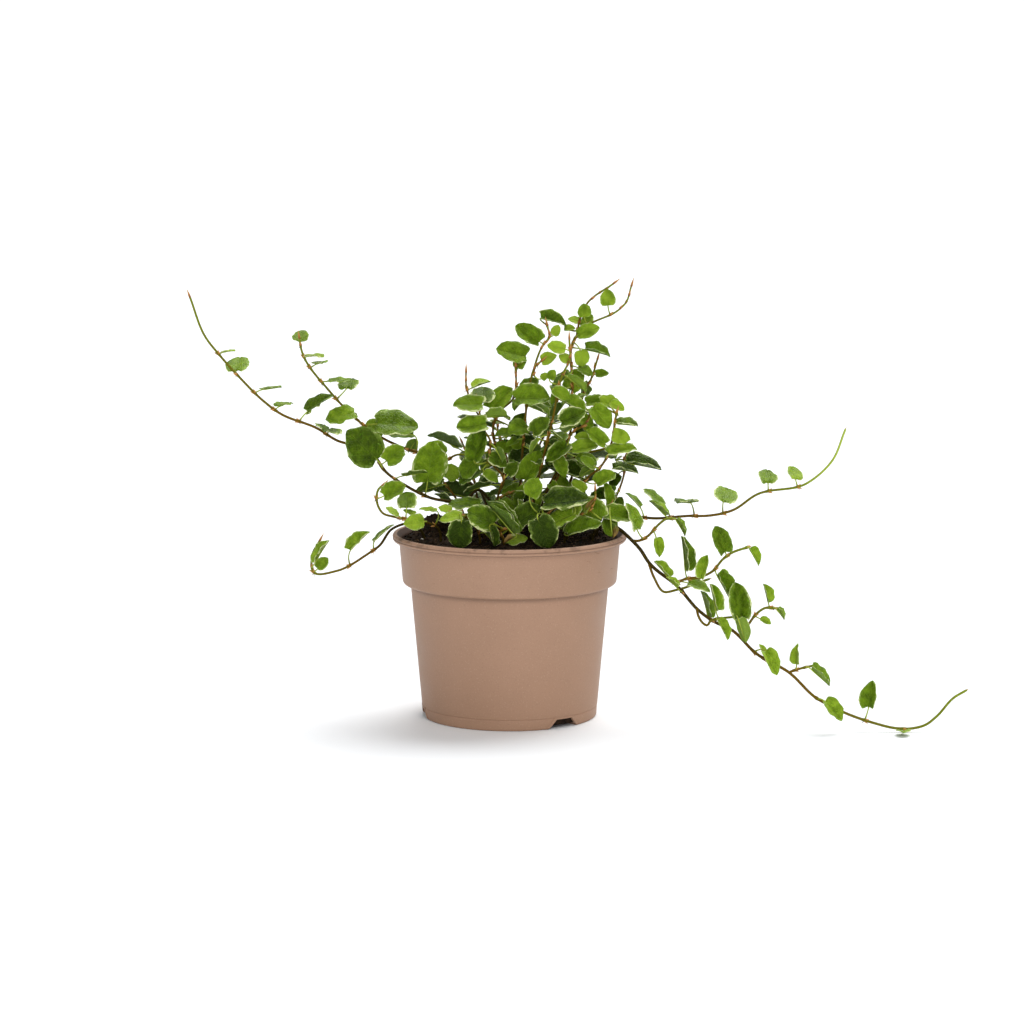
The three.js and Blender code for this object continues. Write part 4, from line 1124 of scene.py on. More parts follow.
aim = put("FunctionNodeAlignRotationToVector", None, 1.0, triple("aim"), axis="Z")
sleeves = placed(of_object("Sheath places"), of_object("Sheath"), aim, triple("stretch"))
sleeves = put("GeometryNodeSetMaterial", sleeves, None, source["Sheath finish"])

length, half_width, half_thick = triple("leaf_size").parts()
is_small = length.math("LESS_THAN", source["Small below"])
feet = of_object("Leaf feet")
blades = wires.joined(
    placed(feet, of_object("Blade"), only=1.0 - is_small),
    placed(feet, of_object("Small blade"), only=is_small),
)
print(len(wires.tree.nodes), "nodes so far")

# %% [markdown]
# ## Bend the blades
# What follows is the same sum as for a leaf of the rigid model, with what makes it look alive
# added to it: the puff between rib and edge, the waves of the edge, and unevenness from a noise
# that differs from leaf to leaf.

# %% Bent blades, and the end of the tree
RIPPLES = 2.3  # waves along an edge
RAGGED = 4.5  # how fine the unevenness of an edge is, for a leaf's length
THINNER = 0.5  # how much of its thickness a blade loses towards the edge
OWN_NOISE, OWN_WAVE = 9.0, 40.0  # how far the quirk of a leaf moves it in the noise and the waves

is_plus = number("flank").math("GREATER_THAN", 0.0)


def flank_value(kind):
    """The three places of this flank's outline."""
    places = triple("minus_" + kind), triple("plus_" + kind)
    return put("ShaderNodeMix", is_plus, *places, data_type="VECTOR")


share = number("share")
edge_share, spare = share * share, 1.0 - share
fold, droop, lopsided = triple("leaf_bend").parts()
quirk = triple("leaf_kind").parts()[1]
border_along = triple("hat_along").vector("DOT_PRODUCT", flank_value("along")) + number("tip_along")
border_out = triple("hat_out").vector("DOT_PRODUCT", flank_value("out"))
border_lift = triple("hat_out").vector("DOT_PRODUCT", flank_value("lift"))

along = number("rib_at") * spare + share * border_along
reach = share * border_out * half_width
own = put("ShaderNodeCombineXYZ", along, reach / length, quirk * OWN_NOISE)
noisy = put("ShaderNodeTexNoise", own, None, RAGGED, 2.0).out("Color")
uneven = [(value - 0.5) * edge_share * source["Unevenness"] for value in noisy.parts()]
wave = (along * (2 * math.pi * RIPPLES) + quirk * OWN_WAVE).math("SINE")
rise = share * spare * source["Puff"] + wave * source["Ripple"] * edge_share
rise = border_lift * edge_share + rise - droop * (along * along)
thin = (1.0 - edge_share * edge_share * THINNER) * half_thick * number("above")

forward = (along + uneven[0]) * length
lateral = reach * fold.math("COSINE") + lopsided * along * length + uneven[1] * length
height = abs(reach) * fold.math("SINE") + rise * length + uneven[2] * length + thin
place = triple("leaf_foot")
for way, amount in (("along", forward), ("side", lateral), ("face", height)):
    place = triple("leaf_" + way).vector("MULTIPLY_ADD", amount, place)
blades = put("GeometryNodeSetPosition", blades, None, place)
chart = put("ShaderNodeCombineXYZ", along, reach / length, share)
blades = put(
    "GeometryNodeStoreNamedAttribute", blades, None, "leaf_chart", chart, data_type="FLOAT_VECTOR"
)
blades = put("GeometryNodeSetMaterial", blades, None, source["Leaf finish"])

wires.join(put("GeometryNodeSetShadeSmooth", wires.joined(blades, sleeves, twigs)), end)
leafy_stem = wires.tree
print(len(leafy_stem.nodes), "nodes in the tree of a leafy stem")

# %% [markdown]
# ## How a finish is put together
# Every finish of this plant is built in the same way: a base colour from a ramp, other colours
# laid over it where something tells them to, a roughness, and a fine relief. The helpers add
# those nodes, and what is the same all over is set on the shader itself.

# %% Helpers for finishes
def new_finish(name):
    """A new material with its wires, its shader and object coordinates."""
    material = bpy.data.materials.new(name)
    material.use_nodes = True
    wires = Wires(material.node_tree)
    place = wires.put("ShaderNodeTexCoord").out("Object")
    return material, wires, material.node_tree.nodes["Principled BSDF"], place


def shades(value, *stops):
    """A colour ramp of (position, colour) pairs."""
    colour = value.wires.put("ShaderNodeValToRGB", value)
    ramp = colour.socket.node.color_ramp
    while len(ramp.elements) < len(stops):
        ramp.elements.new(0.5)
    for element, (position, shade) in zip(ramp.elements, stops):
        element.position = position
        element.color = (*shade, 1)
    return colour


def grain(place, scale, detail=3.0, rough=0.55):
    """Cloudy noise, the finer the larger its scale."""
    return place.wires.put("ShaderNodeTexNoise", place, scale, detail, rough)


def over(colour, share, shade):
    """The colour with a share of a shade laid over it."""
    shade = (*shade, 1) if isinstance(shade, tuple) else shade
    return colour.wires.put("ShaderNodeMix", share, colour, shade, data_type="RGBA")


def set_all_over(shader, **settings):
    """Sets sockets of the shader to one value each."""
    for key, value in settings.items():
        shader.inputs[key.replace("_", " ")].default_value = value


def dress(shader, colour, rough, height, strength, depth, **settings):
    """Joins colour, roughness and bump to the shader and sets what is the same all over."""
    wires = colour.wires
    wires.join(colour, shader.inputs["Base Color"])
    wires.join(rough, shader.inputs["Roughness"])
    bump = wires.put("ShaderNodeBump", strength, depth, None, height)
    wires.join(bump, shader.inputs["Normal"])
    set_all_over(shader, **settings)
    print(len(wires.tree.nodes), "nodes in this finish")


def stored(name, output="Vector"):
    """What the tree stored on the mesh under a name."""
    return wires.put("ShaderNodeAttribute", attribute_name=name).out(output)


print(len(bpy.data.materials), "finishes so far")

# %% [markdown]
# ## Finish of the leaves
# A young leaf is bright yellow-green and an old one deep green, the edge is an uneven cream
# margin, the veins are paler, and the underside is dull grey-green. Painting each leaf would need
# pictures. Instead the finish reads the chart that the tree stored on the blade: how far along,
# how far across and how near the edge a place is, so veins and margin follow every leaf, however
# it is bent.

# %% Leaf finish
GREENS = [  # from old to young
    (0.0, (0.009, 0.024, 0.001)), (0.3, (0.05, 0.095, 0.002)), (0.62, (0.13, 0.22, 0.007)),
    (1.0, (0.31, 0.45, 0.03)),
]
BROWNS = [(0.35, (0.12, 0.05, 0.015)), (0.65, (0.42, 0.22, 0.08))]
INSIDE_MARGIN, CREAM, UNDERSIDE = (0.25, 0.35, 0.07), (0.68, 0.72, 0.36), (0.15, 0.22, 0.055)
NET, VEIN = (0.22, 0.32, 0.05), (0.3, 0.42, 0.08)
RIB, SIDE_VEIN, VEINS_END = (0.022, 0.006), (0.3, 0.49), (0.98, 0.55)  # each from none to full
VEIN_COUNT, SLANT, NET_SCALE = 6.2, 5.5, 11.0  # side veins of a leaf, and how much they slant
MARGIN, GREYER = (0.92, 0.97), (0.7, 0.93)  # from none to full, in shares from rib to edge
RAGGED_BY, WIDER_BY, USUAL_QUIRK = 0.6, 0.16, 0.65  # how noise and quirk change the margin
DRIFT = (7.0, 3.0, 0.0)  # how far the quirk of a leaf moves it in that noise

leaf_finish, wires, shader, place = new_finish("leaf")
chart = stored("leaf_chart")
along, across, edge = chart.parts()
tone, quirk, wilt = stored("leaf_kind").parts()
under = stored("above", "Fac").step(0.3, -0.3)

# veins: the rib, side veins that slant forward, and a net between them
rib = abs(across).step(*RIB)
ladder = abs((along * VEIN_COUNT - abs(across) * SLANT).math("FRACT") - 0.5)
side_veins = ladder.step(*SIDE_VEIN) * edge.step(*VEINS_END)
net = wires.put(
    "ShaderNodeTexVoronoi", chart, NET_SCALE, feature="DISTANCE_TO_EDGE", voronoi_dimensions="2D"
)
veins = rib.math("MAXIMUM", side_veins * 0.75)

# a cream margin, wider on some leaves, with a greyer green inside it
drift = wires.put("ShaderNodeCombineXYZ", quirk, quirk, 0.0)
patchy = drift.vector("MULTIPLY_ADD", DRIFT, chart)
ragged = grain(patchy, 6.5, 4.0) - 0.5
reach = edge + ragged * RAGGED_BY + (quirk - USUAL_QUIRK) * WIDER_BY
cream, grey = reach.step(*MARGIN), reach.step(*GREYER)

# one colour over the other, and last the brown of what has withered
mottle = grain(place, 260.0)
# the tone carries painted light and shade besides the age of the leaf
colour = shades(tone + (mottle - 0.5) * 0.9, *GREENS)
colour = over(colour, grey * 0.42, INSIDE_MARGIN)
colour = over(colour, net.step(0.09, 0.0) * 0.05, NET)
colour = over(colour, veins * (tone * 0.12 + 0.05), VEIN)
colour = over(colour, under * 0.45, UNDERSIDE)
colour = over(colour, cream * 0.74, CREAM)
withered = wilt * along.step(0.0, 0.9, 0.45, 1.0)
withered = (withered + ragged * 0.8).step(0.4, 0.62) * 0.85
colour = over(colour, withered, shades(mottle, *BROWNS))
relief = net.step(0.0, 0.25) - veins * 1.1
dress(
    shader, colour, mottle.step(0.3, 0.75, 0.34, 0.55), relief, 0.7, 0.0002,
    Specular_IOR_Level=0.28, Specular_Tint=(0.75, 1.0, 0.2, 1),
    Subsurface_Weight=0.12, Subsurface_Radius=(0.3, 0.6, 0.08), Subsurface_Scale=0.0015,
)

# %% [markdown]
# ## Finish of stems and sheaths
# Old wood is dark brown, younger wood red-brown, then olive, and the tip of a runner is fresh
# green. The stem stores its age along its length, so one ramp serves every twig and stalk. A
# sheath is darkest at its foot and stores its height for the same reason.

# %% Twig and sheath finishes
BARKS = [  # from old wood to a fresh tip
    (0.0, (0.018, 0.012, 0.001)), (0.22, (0.05, 0.032, 0.002)), (0.42, (0.135, 0.075, 0.004)),
    (0.58, (0.13, 0.12, 0.006)), (0.78, (0.17, 0.21, 0.012)), (1.0, (0.36, 0.46, 0.06)),
]
SCALES = [(0.0, (0.14, 0.05, 0.015)), (0.4, (0.42, 0.18, 0.035)), (1.0, (0.5, 0.3, 0.1))]
FLECK = (0.28, 0.17, 0.05)

twig_finish, wires, shader, place = new_finish("twig")
fleck = grain(place, 900.0)
colour = shades(stored("youth", "Fac") + (grain(place, 320.0) - 0.5) * 0.3, *BARKS)
colour = over(colour, fleck.step(0.58, 0.7) * 0.35, FLECK)
dress(
    shader, colour, 0.62, fleck, 0.5, 0.0002,
    Specular_IOR_Level=0.15, Specular_Tint=(1.0, 0.85, 0.4, 1),
)

sheath_finish, wires, shader, place = new_finish("sheath")
fleck = grain(place, 700.0)
colour = shades(stored("sheath_at", "Fac") + (fleck - 0.5) * 0.5, *SCALES)
dress(shader, colour, 0.6, fleck, 0.4, 0.0002, Specular_IOR_Level=0.25)

# %% [markdown]
# ## Lines that the stems and stalks follow
# The stem swells a little at each joint, and there it puts out short clinging roots. A stalk
# leaves the stem, curves, and goes on below the blade as its rib. Modelling each as a tube would
# be slow work, so only their middle lines are made here, with a thickness and a youth at each
# point.

# %% Twigs as lines
def clamped(value):
    """The value, kept between 0 and 1."""
    return min(1, max(0, value))


def nearest_on(paths, target):
    """The place on the paths that is nearest to the target, and the direction of the path there."""
    found = []
    for path in paths:
        for a, b in zip(path, path[1:]):
            way = b - a
            place = a + way * clamped((target - a).dot(way) / way.length_squared)
            found.append(((place - target).length, place, way.normalized()))
    return min(found, key=lambda row: row[0])[1:]


class Twigs:
    """Lines with a thickness and a youth at each point, in metres at the end."""

    def __init__(self):
        self.points, self.edges, self.thick, self.youth = [], [], [], []

    def add(self, path, thick, youth):
        """Adds a line through points in millimetres."""
        start = len(self.points)
        self.points += [p * MM for p in path]
        self.edges += [(start + i, start + i + 1) for i in range(len(path) - 1)]
        self.thick += [t * MM for t in thick]
        self.youth += youth


path = smooth_path(STEMS["stem_top_right"]["route"])
print("the tip of the tallest stem is", round((path[-1] - path[0]).length), "mm from its foot")

# %% [markdown]
# ## One stem with its shoots
# A stem tapers from its foot to its tip and gets younger as it goes. Each tip is wrapped in a
# sheath, and the stems of the bush carry a few more on their last centimetre.

# %% Stem, shoots and the sheaths of their tips
ROOT_Z = 77  # a stem goes down to here, under the soil
SHOOT_SHARE = 0.7  # thickness of a shoot, next to its stem
SLIMMER = 0.76  # a real stem, next to the thickness that the rigid model needs
STOUT = 1.14  # and how much thicker than that the runners are
YOUTH = {  # at the foot and at the end
    "runner_left": (0.02, 0.78), "runner_right_high": (0.0, 1.15), "runner_right_low": (0.0, 0.82),
    "stem_top": (0.03, 0.8), "stem": (0.03, 0.62),
}
SHOOT_YOUTH = {"runner_right_low": (0.4, 0.78)}  # where the shoots are younger than the stem
SHOOT_FROM = 0.45  # where on its stem's scale of youth a shoot starts
AGING = 1.4  # over 1, a stem gets young only near its tip
TIP_LENGTH, TIP_THICK = 1.2, 0.8  # the last bit of a stem, in millimetres and as a share
TIP_SUNK = 0.8  # how far behind the end of the path the sheath of a tip starts
SHEATH = (0.8, 3.0)  # radius and length
TIP_SHEATH, RUNNER_TIP, YOUNG_SHEATH = (0.62, 5.5), (0.5, 3.4), (0.7, 3.8)
YOUNG_STEP, YOUNG_COUNT, YOUNG_ASIDE = 4.4, 3, 0.25
SWELLING, SWELLING_REACH = 0.4, 0.9  # share of the radius, and millimetres along the stem


def young_sheaths(path):
    """Overlapping sheaths, still fresh, on the last bit of a stem."""
    found, walked, due = [], 0, YOUNG_STEP
    for after, point in zip(path[::-1], path[-2::-1]):
        walked += (after - point).length
        if walked > due and len(found) < YOUNG_COUNT:
            due += YOUNG_STEP
            aside = Vector((between(-1, 1), between(-1, 1), 0)) * YOUNG_ASIDE
            found.append((point, ((after - point).normalized() + aside).normalized(), YOUNG_SHEATH))
    return found


def add_stem(name, paths, joints, twigs, sleeves):
    """Adds the lines of a stem and its shoots, and the sheaths of their tips."""
    low, high = STEMS[name]["radius"]
    stout = STOUT if name.startswith("runner") else 1
    youth = next(ages for kind, ages in YOUTH.items() if name.startswith(kind))
    shoot_youth = SHOOT_YOUTH.get(name, (youth[0] + SHOOT_FROM * (youth[1] - youth[0]), youth[1]))
    for n, path in enumerate(paths):
        foot = low * SHOOT_SHARE if n else low
        from_youth, to_youth = shoot_youth if n else youth
        shares = [i / (len(path) - 1) for i in range(len(path))]
        radii = []
        for s, point in zip(shares, path):
            radius = stout * (foot + (high - foot) * s) * (SLIMMER + (1 - SLIMMER) * s * s)
            for joint, _ in joints:
                radius *= 1 + SWELLING * math.exp(-((point - joint).length / SWELLING_REACH) ** 2)
            radii.append(radius)
        ahead = (path[-1] - path[-2]).normalized()
        ages = [from_youth + (to_youth - from_youth) * s**AGING for s in shares] + [to_youth]
        twigs.add(path + [path[-1] + ahead * TIP_LENGTH], radii + [high * stout * TIP_THICK], ages)
        tip = RUNNER_TIP if name.startswith("runner_right") else TIP_SHEATH
        sleeves.append((path[-1] - ahead * TIP_SUNK, ahead, tip))
        if name.startswith("stem"):
            sleeves += young_sheaths(path)


print(YOUNG_COUNT, "young sheaths below each tip,", YOUNG_STEP, "mm apart")

# %% [markdown]
# ## Stalks, ribs and clinging roots
# These are lines of the same kind, set where the leaves are. Each joint also keeps one sheath
# that points along the stalk, and on a runner one that points the other way.

# %% Stalks, ribs and clinging roots
STALK_THICK = [0.52, 0.42, 0.36, 0.33, 0.33, 0.38]  # radii from the stem to the blade
RIB_PLACES, RIB_THICK = (0.12, 0.3, 0.55, 0.8), [0.34, 0.25, 0.17, 0.06]
RIB_DEPTH = 0.17  # below the middle of the blade
STALK_BEND = (0.42, 0.85)  # how far back from the blade and out from the joint it bends
STALK_FOOT_YOUTH, STALK_YOUTH, RIB_YOUTH = 0.42, (0.72, 0.18), 0.1
ROOT_THICK, ROOT_YOUTH = [0.2, 0.15, 0.06], [0.3, 0.35, 0.4]
ROOT_LENGTHS, ROOT_DOWN = (1.2, 2.6), (-1.4, 0.3)  # they head down rather than up
ROOT_KNEE, ROOT_ASIDE = 0.6, 0.5  # where a root bends, and how far its tip is off
JOINT_BACK = 0.3  # a joint lies behind the foot of its leaf, by this share of the leaf's length
LEAN, SUNK = 0.55, 0.5  # of a sheath, towards its leaf and into the stem
OTHER_LEAN, OTHER_SUNK = 1.4, 0.3  # and of the one on the other side


def add_stalk(leaf, joint, twigs):
    """Adds a stalk that curves from the joint to the leaf and goes on as its rib."""
    back, out = STALK_BEND
    bend = joint + (leaf.foot - leaf.along * back * (leaf.foot - joint).length - joint) * out
    stalk = [
        joint * (1 - t) ** 2 + bend * 2 * t * (1 - t) + leaf.foot * t * t
        for t in np.linspace(0, 1, len(STALK_THICK))
    ]
    rib = [leaf.point(t) - leaf.face * RIB_DEPTH for t in RIB_PLACES]
    young = STALK_YOUTH[0] + STALK_YOUTH[1] * draw()
    thick = STALK_THICK + RIB_THICK
    ages = [STALK_FOOT_YOUTH, young] + [young + RIB_YOUTH] * (len(thick) - 2)
    twigs.add(stalk + rib, thick, ages)


def add_roots(joint, count, twigs):
    """Adds short clinging roots at a joint, none of them below the ground."""
    for _ in range(count):
        way = stray(z=ROOT_DOWN).normalized()
        aside = stray()
        reach = between(*ROOT_LENGTHS)
        tip = joint + way * reach + aside * ROOT_ASIDE
        tip.z = max(tip.z, GROUND)
        twigs.add([joint, joint + way * reach * ROOT_KNEE, tip], ROOT_THICK, ROOT_YOUTH)


def stem_lines(name):
    """Twig lines and sheath places of a stem."""
    stem, leaves, on_runner = STEMS[name], LEAVES[name], name.startswith("runner")
    x, y, _ = stem["route"][0]
    route, *shoots = routes_of(stem)
    paths = [smooth_path(points) for points in [[(x, y, ROOT_Z), *route], *shoots]]
    targets = [leaf.foot - leaf.along * JOINT_BACK * leaf.length for leaf in leaves]
    joints = [nearest_on(paths, target) for target in targets]
    twigs, sleeves = Twigs(), []
    add_stem(name, paths, joints, twigs, sleeves)
    for (joint, way), leaf in zip(joints, leaves):
        add_stalk(leaf, joint, twigs)
        to_leaf = (leaf.foot - joint).normalized()
        out = (to_leaf * LEAN + way).normalized()
        sleeves.append((joint - out * SUNK, out, SHEATH))
        if on_runner:
            other = (way * OTHER_LEAN - to_leaf).normalized()
            sleeves.append((joint - other * OTHER_SUNK, other, SHEATH))
        add_roots(joint, 2 if on_runner else 1, twigs)
    return twigs, sleeves


print(len(STALK_THICK), "points in a stalk and", len(RIB_PLACES), "in a rib")

# %% [markdown]
# ## How old and how well lit a leaf is
# Small leaves near the tips are the young, bright ones, and leaves low down in the shade of the
# bush are the darkest. That shade is painted into the leaves, and so is light: leaves high up are
# painted lighter, those behind the bush or hanging down in front darker, and each runner gets a
# painted brightness of its own. So every leaf gets one tone between old and shaded and young and
# lit, and the finish turns it into a green.

# %% Tone of a leaf
# from here on, numbers of painted light and painted shade: lighter leaves high up, on the runners
# and in front, darker ones behind and hanging down
RUNNER_LIGHT = {"runner_right_low": 0.19, "runner_right_high": 0.06, "runner_left": 0.12}
FRONT_LIGHT = 0.12
MIDDLE_TONE, CHANCE, RUNNER_CHANCE = 0.41, (-0.34, 0.3), 0.6
YOUTH_COUNTS, OLDEST = 0.55, -0.22
GROWN_LENGTH, YOUTH_SPAN = 15, 13  # millimetres: neither young nor old, and how much less is young
LIT_HEIGHT, LIT_SPAN = 125, 300  # the higher in the bush, the more light
LOW_YOUTH, YOUTH_RISE = 0.35, (110, 60)  # low in the bush youth counts less, up to full above
BACK_SHADE, BACK_RISE = 0.16, (10, 30)  # and behind there is less light
HANGING, HANGS_FROM = 2.2, 0.5  # a leaf that hangs down in front turns away from the light


def leaf_tone_and_painted_light(leaf, name):
    """From 0, old and shaded, to 1, young and bright."""
    youth = max(OLDEST, (GROWN_LENGTH - leaf.length) / YOUTH_SPAN)
    light, hangs, chance = (leaf.foot.z - LIT_HEIGHT) / LIT_SPAN, 0, between(*CHANCE)
    if name.startswith("runner"):
        light = next(light for kind, light in RUNNER_LIGHT.items() if name.startswith(kind))
        chance *= RUNNER_CHANCE
    elif name.startswith("stem_front"):
        light, hangs = FRONT_LIGHT, HANGING * max(0, -leaf.along.z - HANGS_FROM)
    else:
        start, span = YOUTH_RISE
        youth *= LOW_YOUTH + (1 - LOW_YOUTH) * clamped((leaf.foot.z - start) / span)
        start, span = BACK_RISE
        light -= BACK_SHADE * clamped((leaf.foot.y + start) / span)
    return clamped(MIDDLE_TONE + YOUTH_COUNTS * youth + light - hangs + chance)


print("a grown leaf in the middle of the bush has a tone of", MIDDLE_TONE)

# %% [markdown]
# ## What the tree reads from each leaf
# The tree bends all blades at once, so each leaf hands over its numbers as a row: its three axes,
# its sizes, its fold and the places of its outline. A young leaf was drawn with two places on a
# flank, and the tree wants three.

# %% Row of a leaf
BLUNT = 1.07  # how much broader the shoulder is than the rigid blade's
RUNNER_FOLD = {"runner_right_high": 0.15, "runner_right_low": 0.35}  # most that it adds, in radians
LOW_BELOW, IN_FRONT = 120, -5  # where leaves are creamier and drier: below and in front of this
CREAMIER, HANGING_CREAM, DRIEST = 0.4, 0.4, 0.4
YOUNG_ON, YOUNG_OUT = (-0.12, -0.03, 0.1), (0.78, 0.56, 0.84)  # shifts along and shares out


def three_places(places, blunt):
    """Lobe, widest place and shoulder of a flank. A young leaf has two places and gets a third."""
    if len(places) == 2:
        (a, o, w), (b, p, x) = places
        three = (a, o, w), ((a + b) / 2, o + p, (w + x) / 2), (b, p, x)
        rows = zip(three, YOUNG_ON, YOUNG_OUT)
        places = [(along + on, share * out, lift) for (along, out, lift), on, share in rows]
    a, o, w = places[2]
    return [*places[:2], (a, blunt * o, w)]


def leaf_row(leaf, name):
    """All that the tree reads from one leaf, under the names that it reads."""
    form, folds_up = leaf.form, name in RUNNER_FOLD
    low_front = leaf.foot.z < LOW_BELOW and leaf.foot.y < IN_FRONT
    fold = form["fold"] + (RUNNER_FOLD[name] * draw() if folds_up else 0)
    quirk = draw() ** (CREAMIER if low_front else 1)
    if low_front and leaf.along.z < -HANGS_FROM:
        quirk *= HANGING_CREAM
    dry = max(leaf.dry, DRIEST * draw() if low_front else 0)
    row = dict(
        leaf_foot=leaf.foot * MM, leaf_along=leaf.along, leaf_side=leaf.side, leaf_face=leaf.face,
        leaf_size=(leaf.length * MM, leaf.half_width * MM, BLADE_HALF),
        leaf_bend=(fold, form["droop"], form["lopsided"]),
        leaf_kind=(leaf_tone_and_painted_light(leaf, name), quirk, dry),
    )
    for flank, places in zip(("plus", "minus"), form["flanks"]):
        columns = zip(*three_places(places, 1 if folds_up else BLUNT))
        for kind, values in zip(("along", "out", "lift"), columns):
            row[f"{flank}_{kind}"] = values
    return row


young = [leaf for leaves in LEAVES.values() for leaf in leaves if len(leaf.form["flanks"][0]) == 2]
print(len(young), "young leaves will get a third place on each flank")

# %% [markdown]
# ## Grow every leafy stem
# Three small helper objects carry the lines, the feet of the leaves and the places of the sheaths
# into the tree. What comes out replaces the solid of the same stem, and only what the finishes
# read is kept of the numbers stored on it.

# %% Grow the stems
SMALL_LEAF = 11  # below this length, in millimetres, the small blade does
SMOOTH, RUGGED = 0.12, 0.22  # unevenness of the leaves of the right runners, and of the others
SETTINGS = {
    "Blade": blade, "Small blade": small_blade, "Small below": SMALL_LEAF * MM, "Sheath": sheath,
    "Twig sides": 8, "Ripple": 0.03, "Puff": 0.18, "Twig finish": twig_finish,
    "Leaf finish": leaf_finish, "Sheath finish": sheath_finish,
}
READ_BY_FINISHES = {"leaf_kind", "above"}  # all else that leaf and sheath brought along is spent


def leafy_piece(name):
    """The finished piece for one stem."""
    twigs, sleeves = stem_lines(name)
    rows = [leaf_row(leaf, name) for leaf in LEAVES[name]]
    columns = {key: [row[key] for row in rows] for key in rows[0]}
    feet = solid("feet", columns["leaf_foot"], **columns)
    where, aim, sizes = zip(*sleeves)
    stretch = [(radius * MM, radius * MM, length * MM) for radius, length in sizes]
    spots = solid("spots", [place * MM for place in where], aim=aim, stretch=stretch)
    lines = solid("lines", twigs.points, edges=twigs.edges, thick=twigs.thick, youth=twigs.youth)
    unevenness = SMOOTH if name in RUNNER_FOLD else RUGGED
    values = {"Leaf feet": feet, "Sheath places": spots, "Unevenness": unevenness, **SETTINGS}
    piece = grown("fig_" + name, lines.data, leafy_stem, values)
    clear_away(feet, spots, lines)
    for key in sorted({*columns, *BLADE_DATA, "aim", "stretch"} - READ_BY_FINISHES):
        if key in piece.data.attributes:
            piece.data.attributes.remove(piece.data.attributes[key])
    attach(piece, "root")
    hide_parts(name)
    return piece


foliage = [leafy_piece(name) for name in STEMS]
print("faces in the foliage:", sum(len(piece.data.polygons) for piece in foliage))

# %% [markdown]
# ## The pot
# The pot is thin moulded plastic: a tapering body, a wider collar with a rounded foot, and a
# rolled rim. It is round, so its section is drawn once and turned about the axis, with every
# corner rounded by a small arc. Three channels run out under the floor and show as notches at the
# foot of the wall.

# %% Turn a section about the axis
POT_SIDES = 160
POT_OUTSIDE = [  # radius, height and rounding
    (0, 0, 0), (44.6, 0, 1.2), (44.95, 5.45, 0.2), (44.75, 5.65, 0.1), (45.1, 5.95, 0.2),
    (50.7, 68.3, 0.8), (54.7, 68.9, 2.6), (56.5, 90.6, 0.7), (59.3, 90.9, 0.9), (59.9, 92.2, 0.5),
    (59.4, 92.65, 0.3), (59.95, 93.1, 0.4), (59.3, 94.5, 0.8), (57.7, 94.5, 0.8), (56.9, 93.4, 0.6),
    (55.4, 91.5, 1),
]
POT_INSIDE = [(53.3, 72.3, 2), (49.6, 69.5, 0.8), (43.5, 1.4, 1), (0, 1.4, 0)]
MOST_OF_EDGE = 0.45  # a rounding takes no more of an edge than this share


def rounded(corners):
    """The points of a section with its corners softened by small arcs."""
    points = []
    for i, (radius, height, rounding) in enumerate(corners):
        here = Vector((radius, height))
        if not rounding:
            points.append(here)
            continue
        back, on = (Vector(corners[i + k][:2]) - here for k in (-1, 1))
        reach = min(rounding, back.length * MOST_OF_EDGE, on.length * MOST_OF_EDGE)
        start, stop = here + back.normalized() * reach, here + on.normalized() * reach
        for t in (0, 0.25, 0.5, 0.75, 1):
            points.append(start * (1 - t) ** 2 + here * 2 * t * (1 - t) + stop * t * t)
    return points


def turned(name, section, sides):
    """A closed solid from a section, in millimetres, that starts and ends on the axis."""
    return loft(name, [circle(radius * MM, height * MM, sides) for radius, height in section])


pot = turned("nursery_pot", rounded(POT_OUTSIDE + POT_INSIDE), POT_SIDES)
print(len(pot.data.polygons), "faces in the turned pot")

# %% [markdown]
# ## Solids that join and cut
# Holes and ridges could be modelled face by face into the turned pot, but that is slow and easy
# to get wrong. Joining and cutting solids is what the Boolean modifier does. The sharp edges that
# it leaves are marked afterwards, and all else is shaded smooth.

# %% Helpers that join and cut
CHANNEL_FOOT, CHANNEL_TOP = 18.5, 9.5  # width of a drain channel below and above
SHARP = 0.6  # an edge that bends by more than this many radians stays sharp


def radial_bar(name, azimuth, start, stop, low, high, wider=0):
    """A bar along an azimuth with the section of a channel, or a wider one."""
    out, side = polar(azimuth), polar(azimuth + math.pi / 2)
    foot, top = CHANNEL_FOOT + wider, CHANNEL_TOP + wider
    section = ((-foot, low), (foot, low), (top, high), (-top, high))
    return loft(name, [
        [(out * r + side * width / 2 + UP * z) * MM for width, z in section] for r in (start, stop)
    ])


def combine(piece, tool, operation):
    """Joins a solid to the piece, cuts it out or keeps what they share, and removes it."""
    modifier = piece.modifiers.new("combine", "BOOLEAN")
    modifier.object, modifier.operation, modifier.solver = tool, operation, "EXACT"
    settle(piece)
    clear_away(tool)


def smooth_but_for_edges(piece):
    """Shades the piece smooth and keeps its sharp edges."""
    work = bmesh.new()
    work.from_mesh(piece.data)
    for face in work.faces:
        face.smooth = True
    for edge in work.edges:
        edge.smooth = len(edge.link_faces) == 2 and edge.calc_face_angle(0) < SHARP
    work.to_mesh(piece.data)
    work.free()


print("a drain channel narrows from", CHANNEL_FOOT, "to", CHANNEL_TOP, "mm")

# %% [markdown]
# ## Cut the drain channels
# Each channel is a bar of trapezoid section cut out from below, with a ridge of the same plastic
# over it inside the pot and two drain holes in its roof. All ridges are joined on before anything
# is cut, so that no ridge fills a channel again.

# %% Channels, ridges and drain holes
CHANNELS = [math.radians(azimuth) for azimuth in (-52, 68, 188)]
CHANNEL_START, CHANNEL_STOP, CHANNEL_HEIGHT = 19, 50, 4.8
CUT_FROM = -0.01  # a little below the foot, so that the cut goes through
WALL, RIDGE_STOP, RIDGE_FOOT = 1.1, 48, 0.7
DRAIN_RADII = (26, 37)  # from the middle of the pot
DRAIN = [(0, 2), (3.5, 2), (3.5, 8), (0, 8)]  # section of the tool that cuts a hole
DRAIN_SIDES = 28
WITHIN_WALL = [(0, 0.7), (44.8, 0.7), (50.4, 68), (0, 68)]  # section that a ridge keeps inside

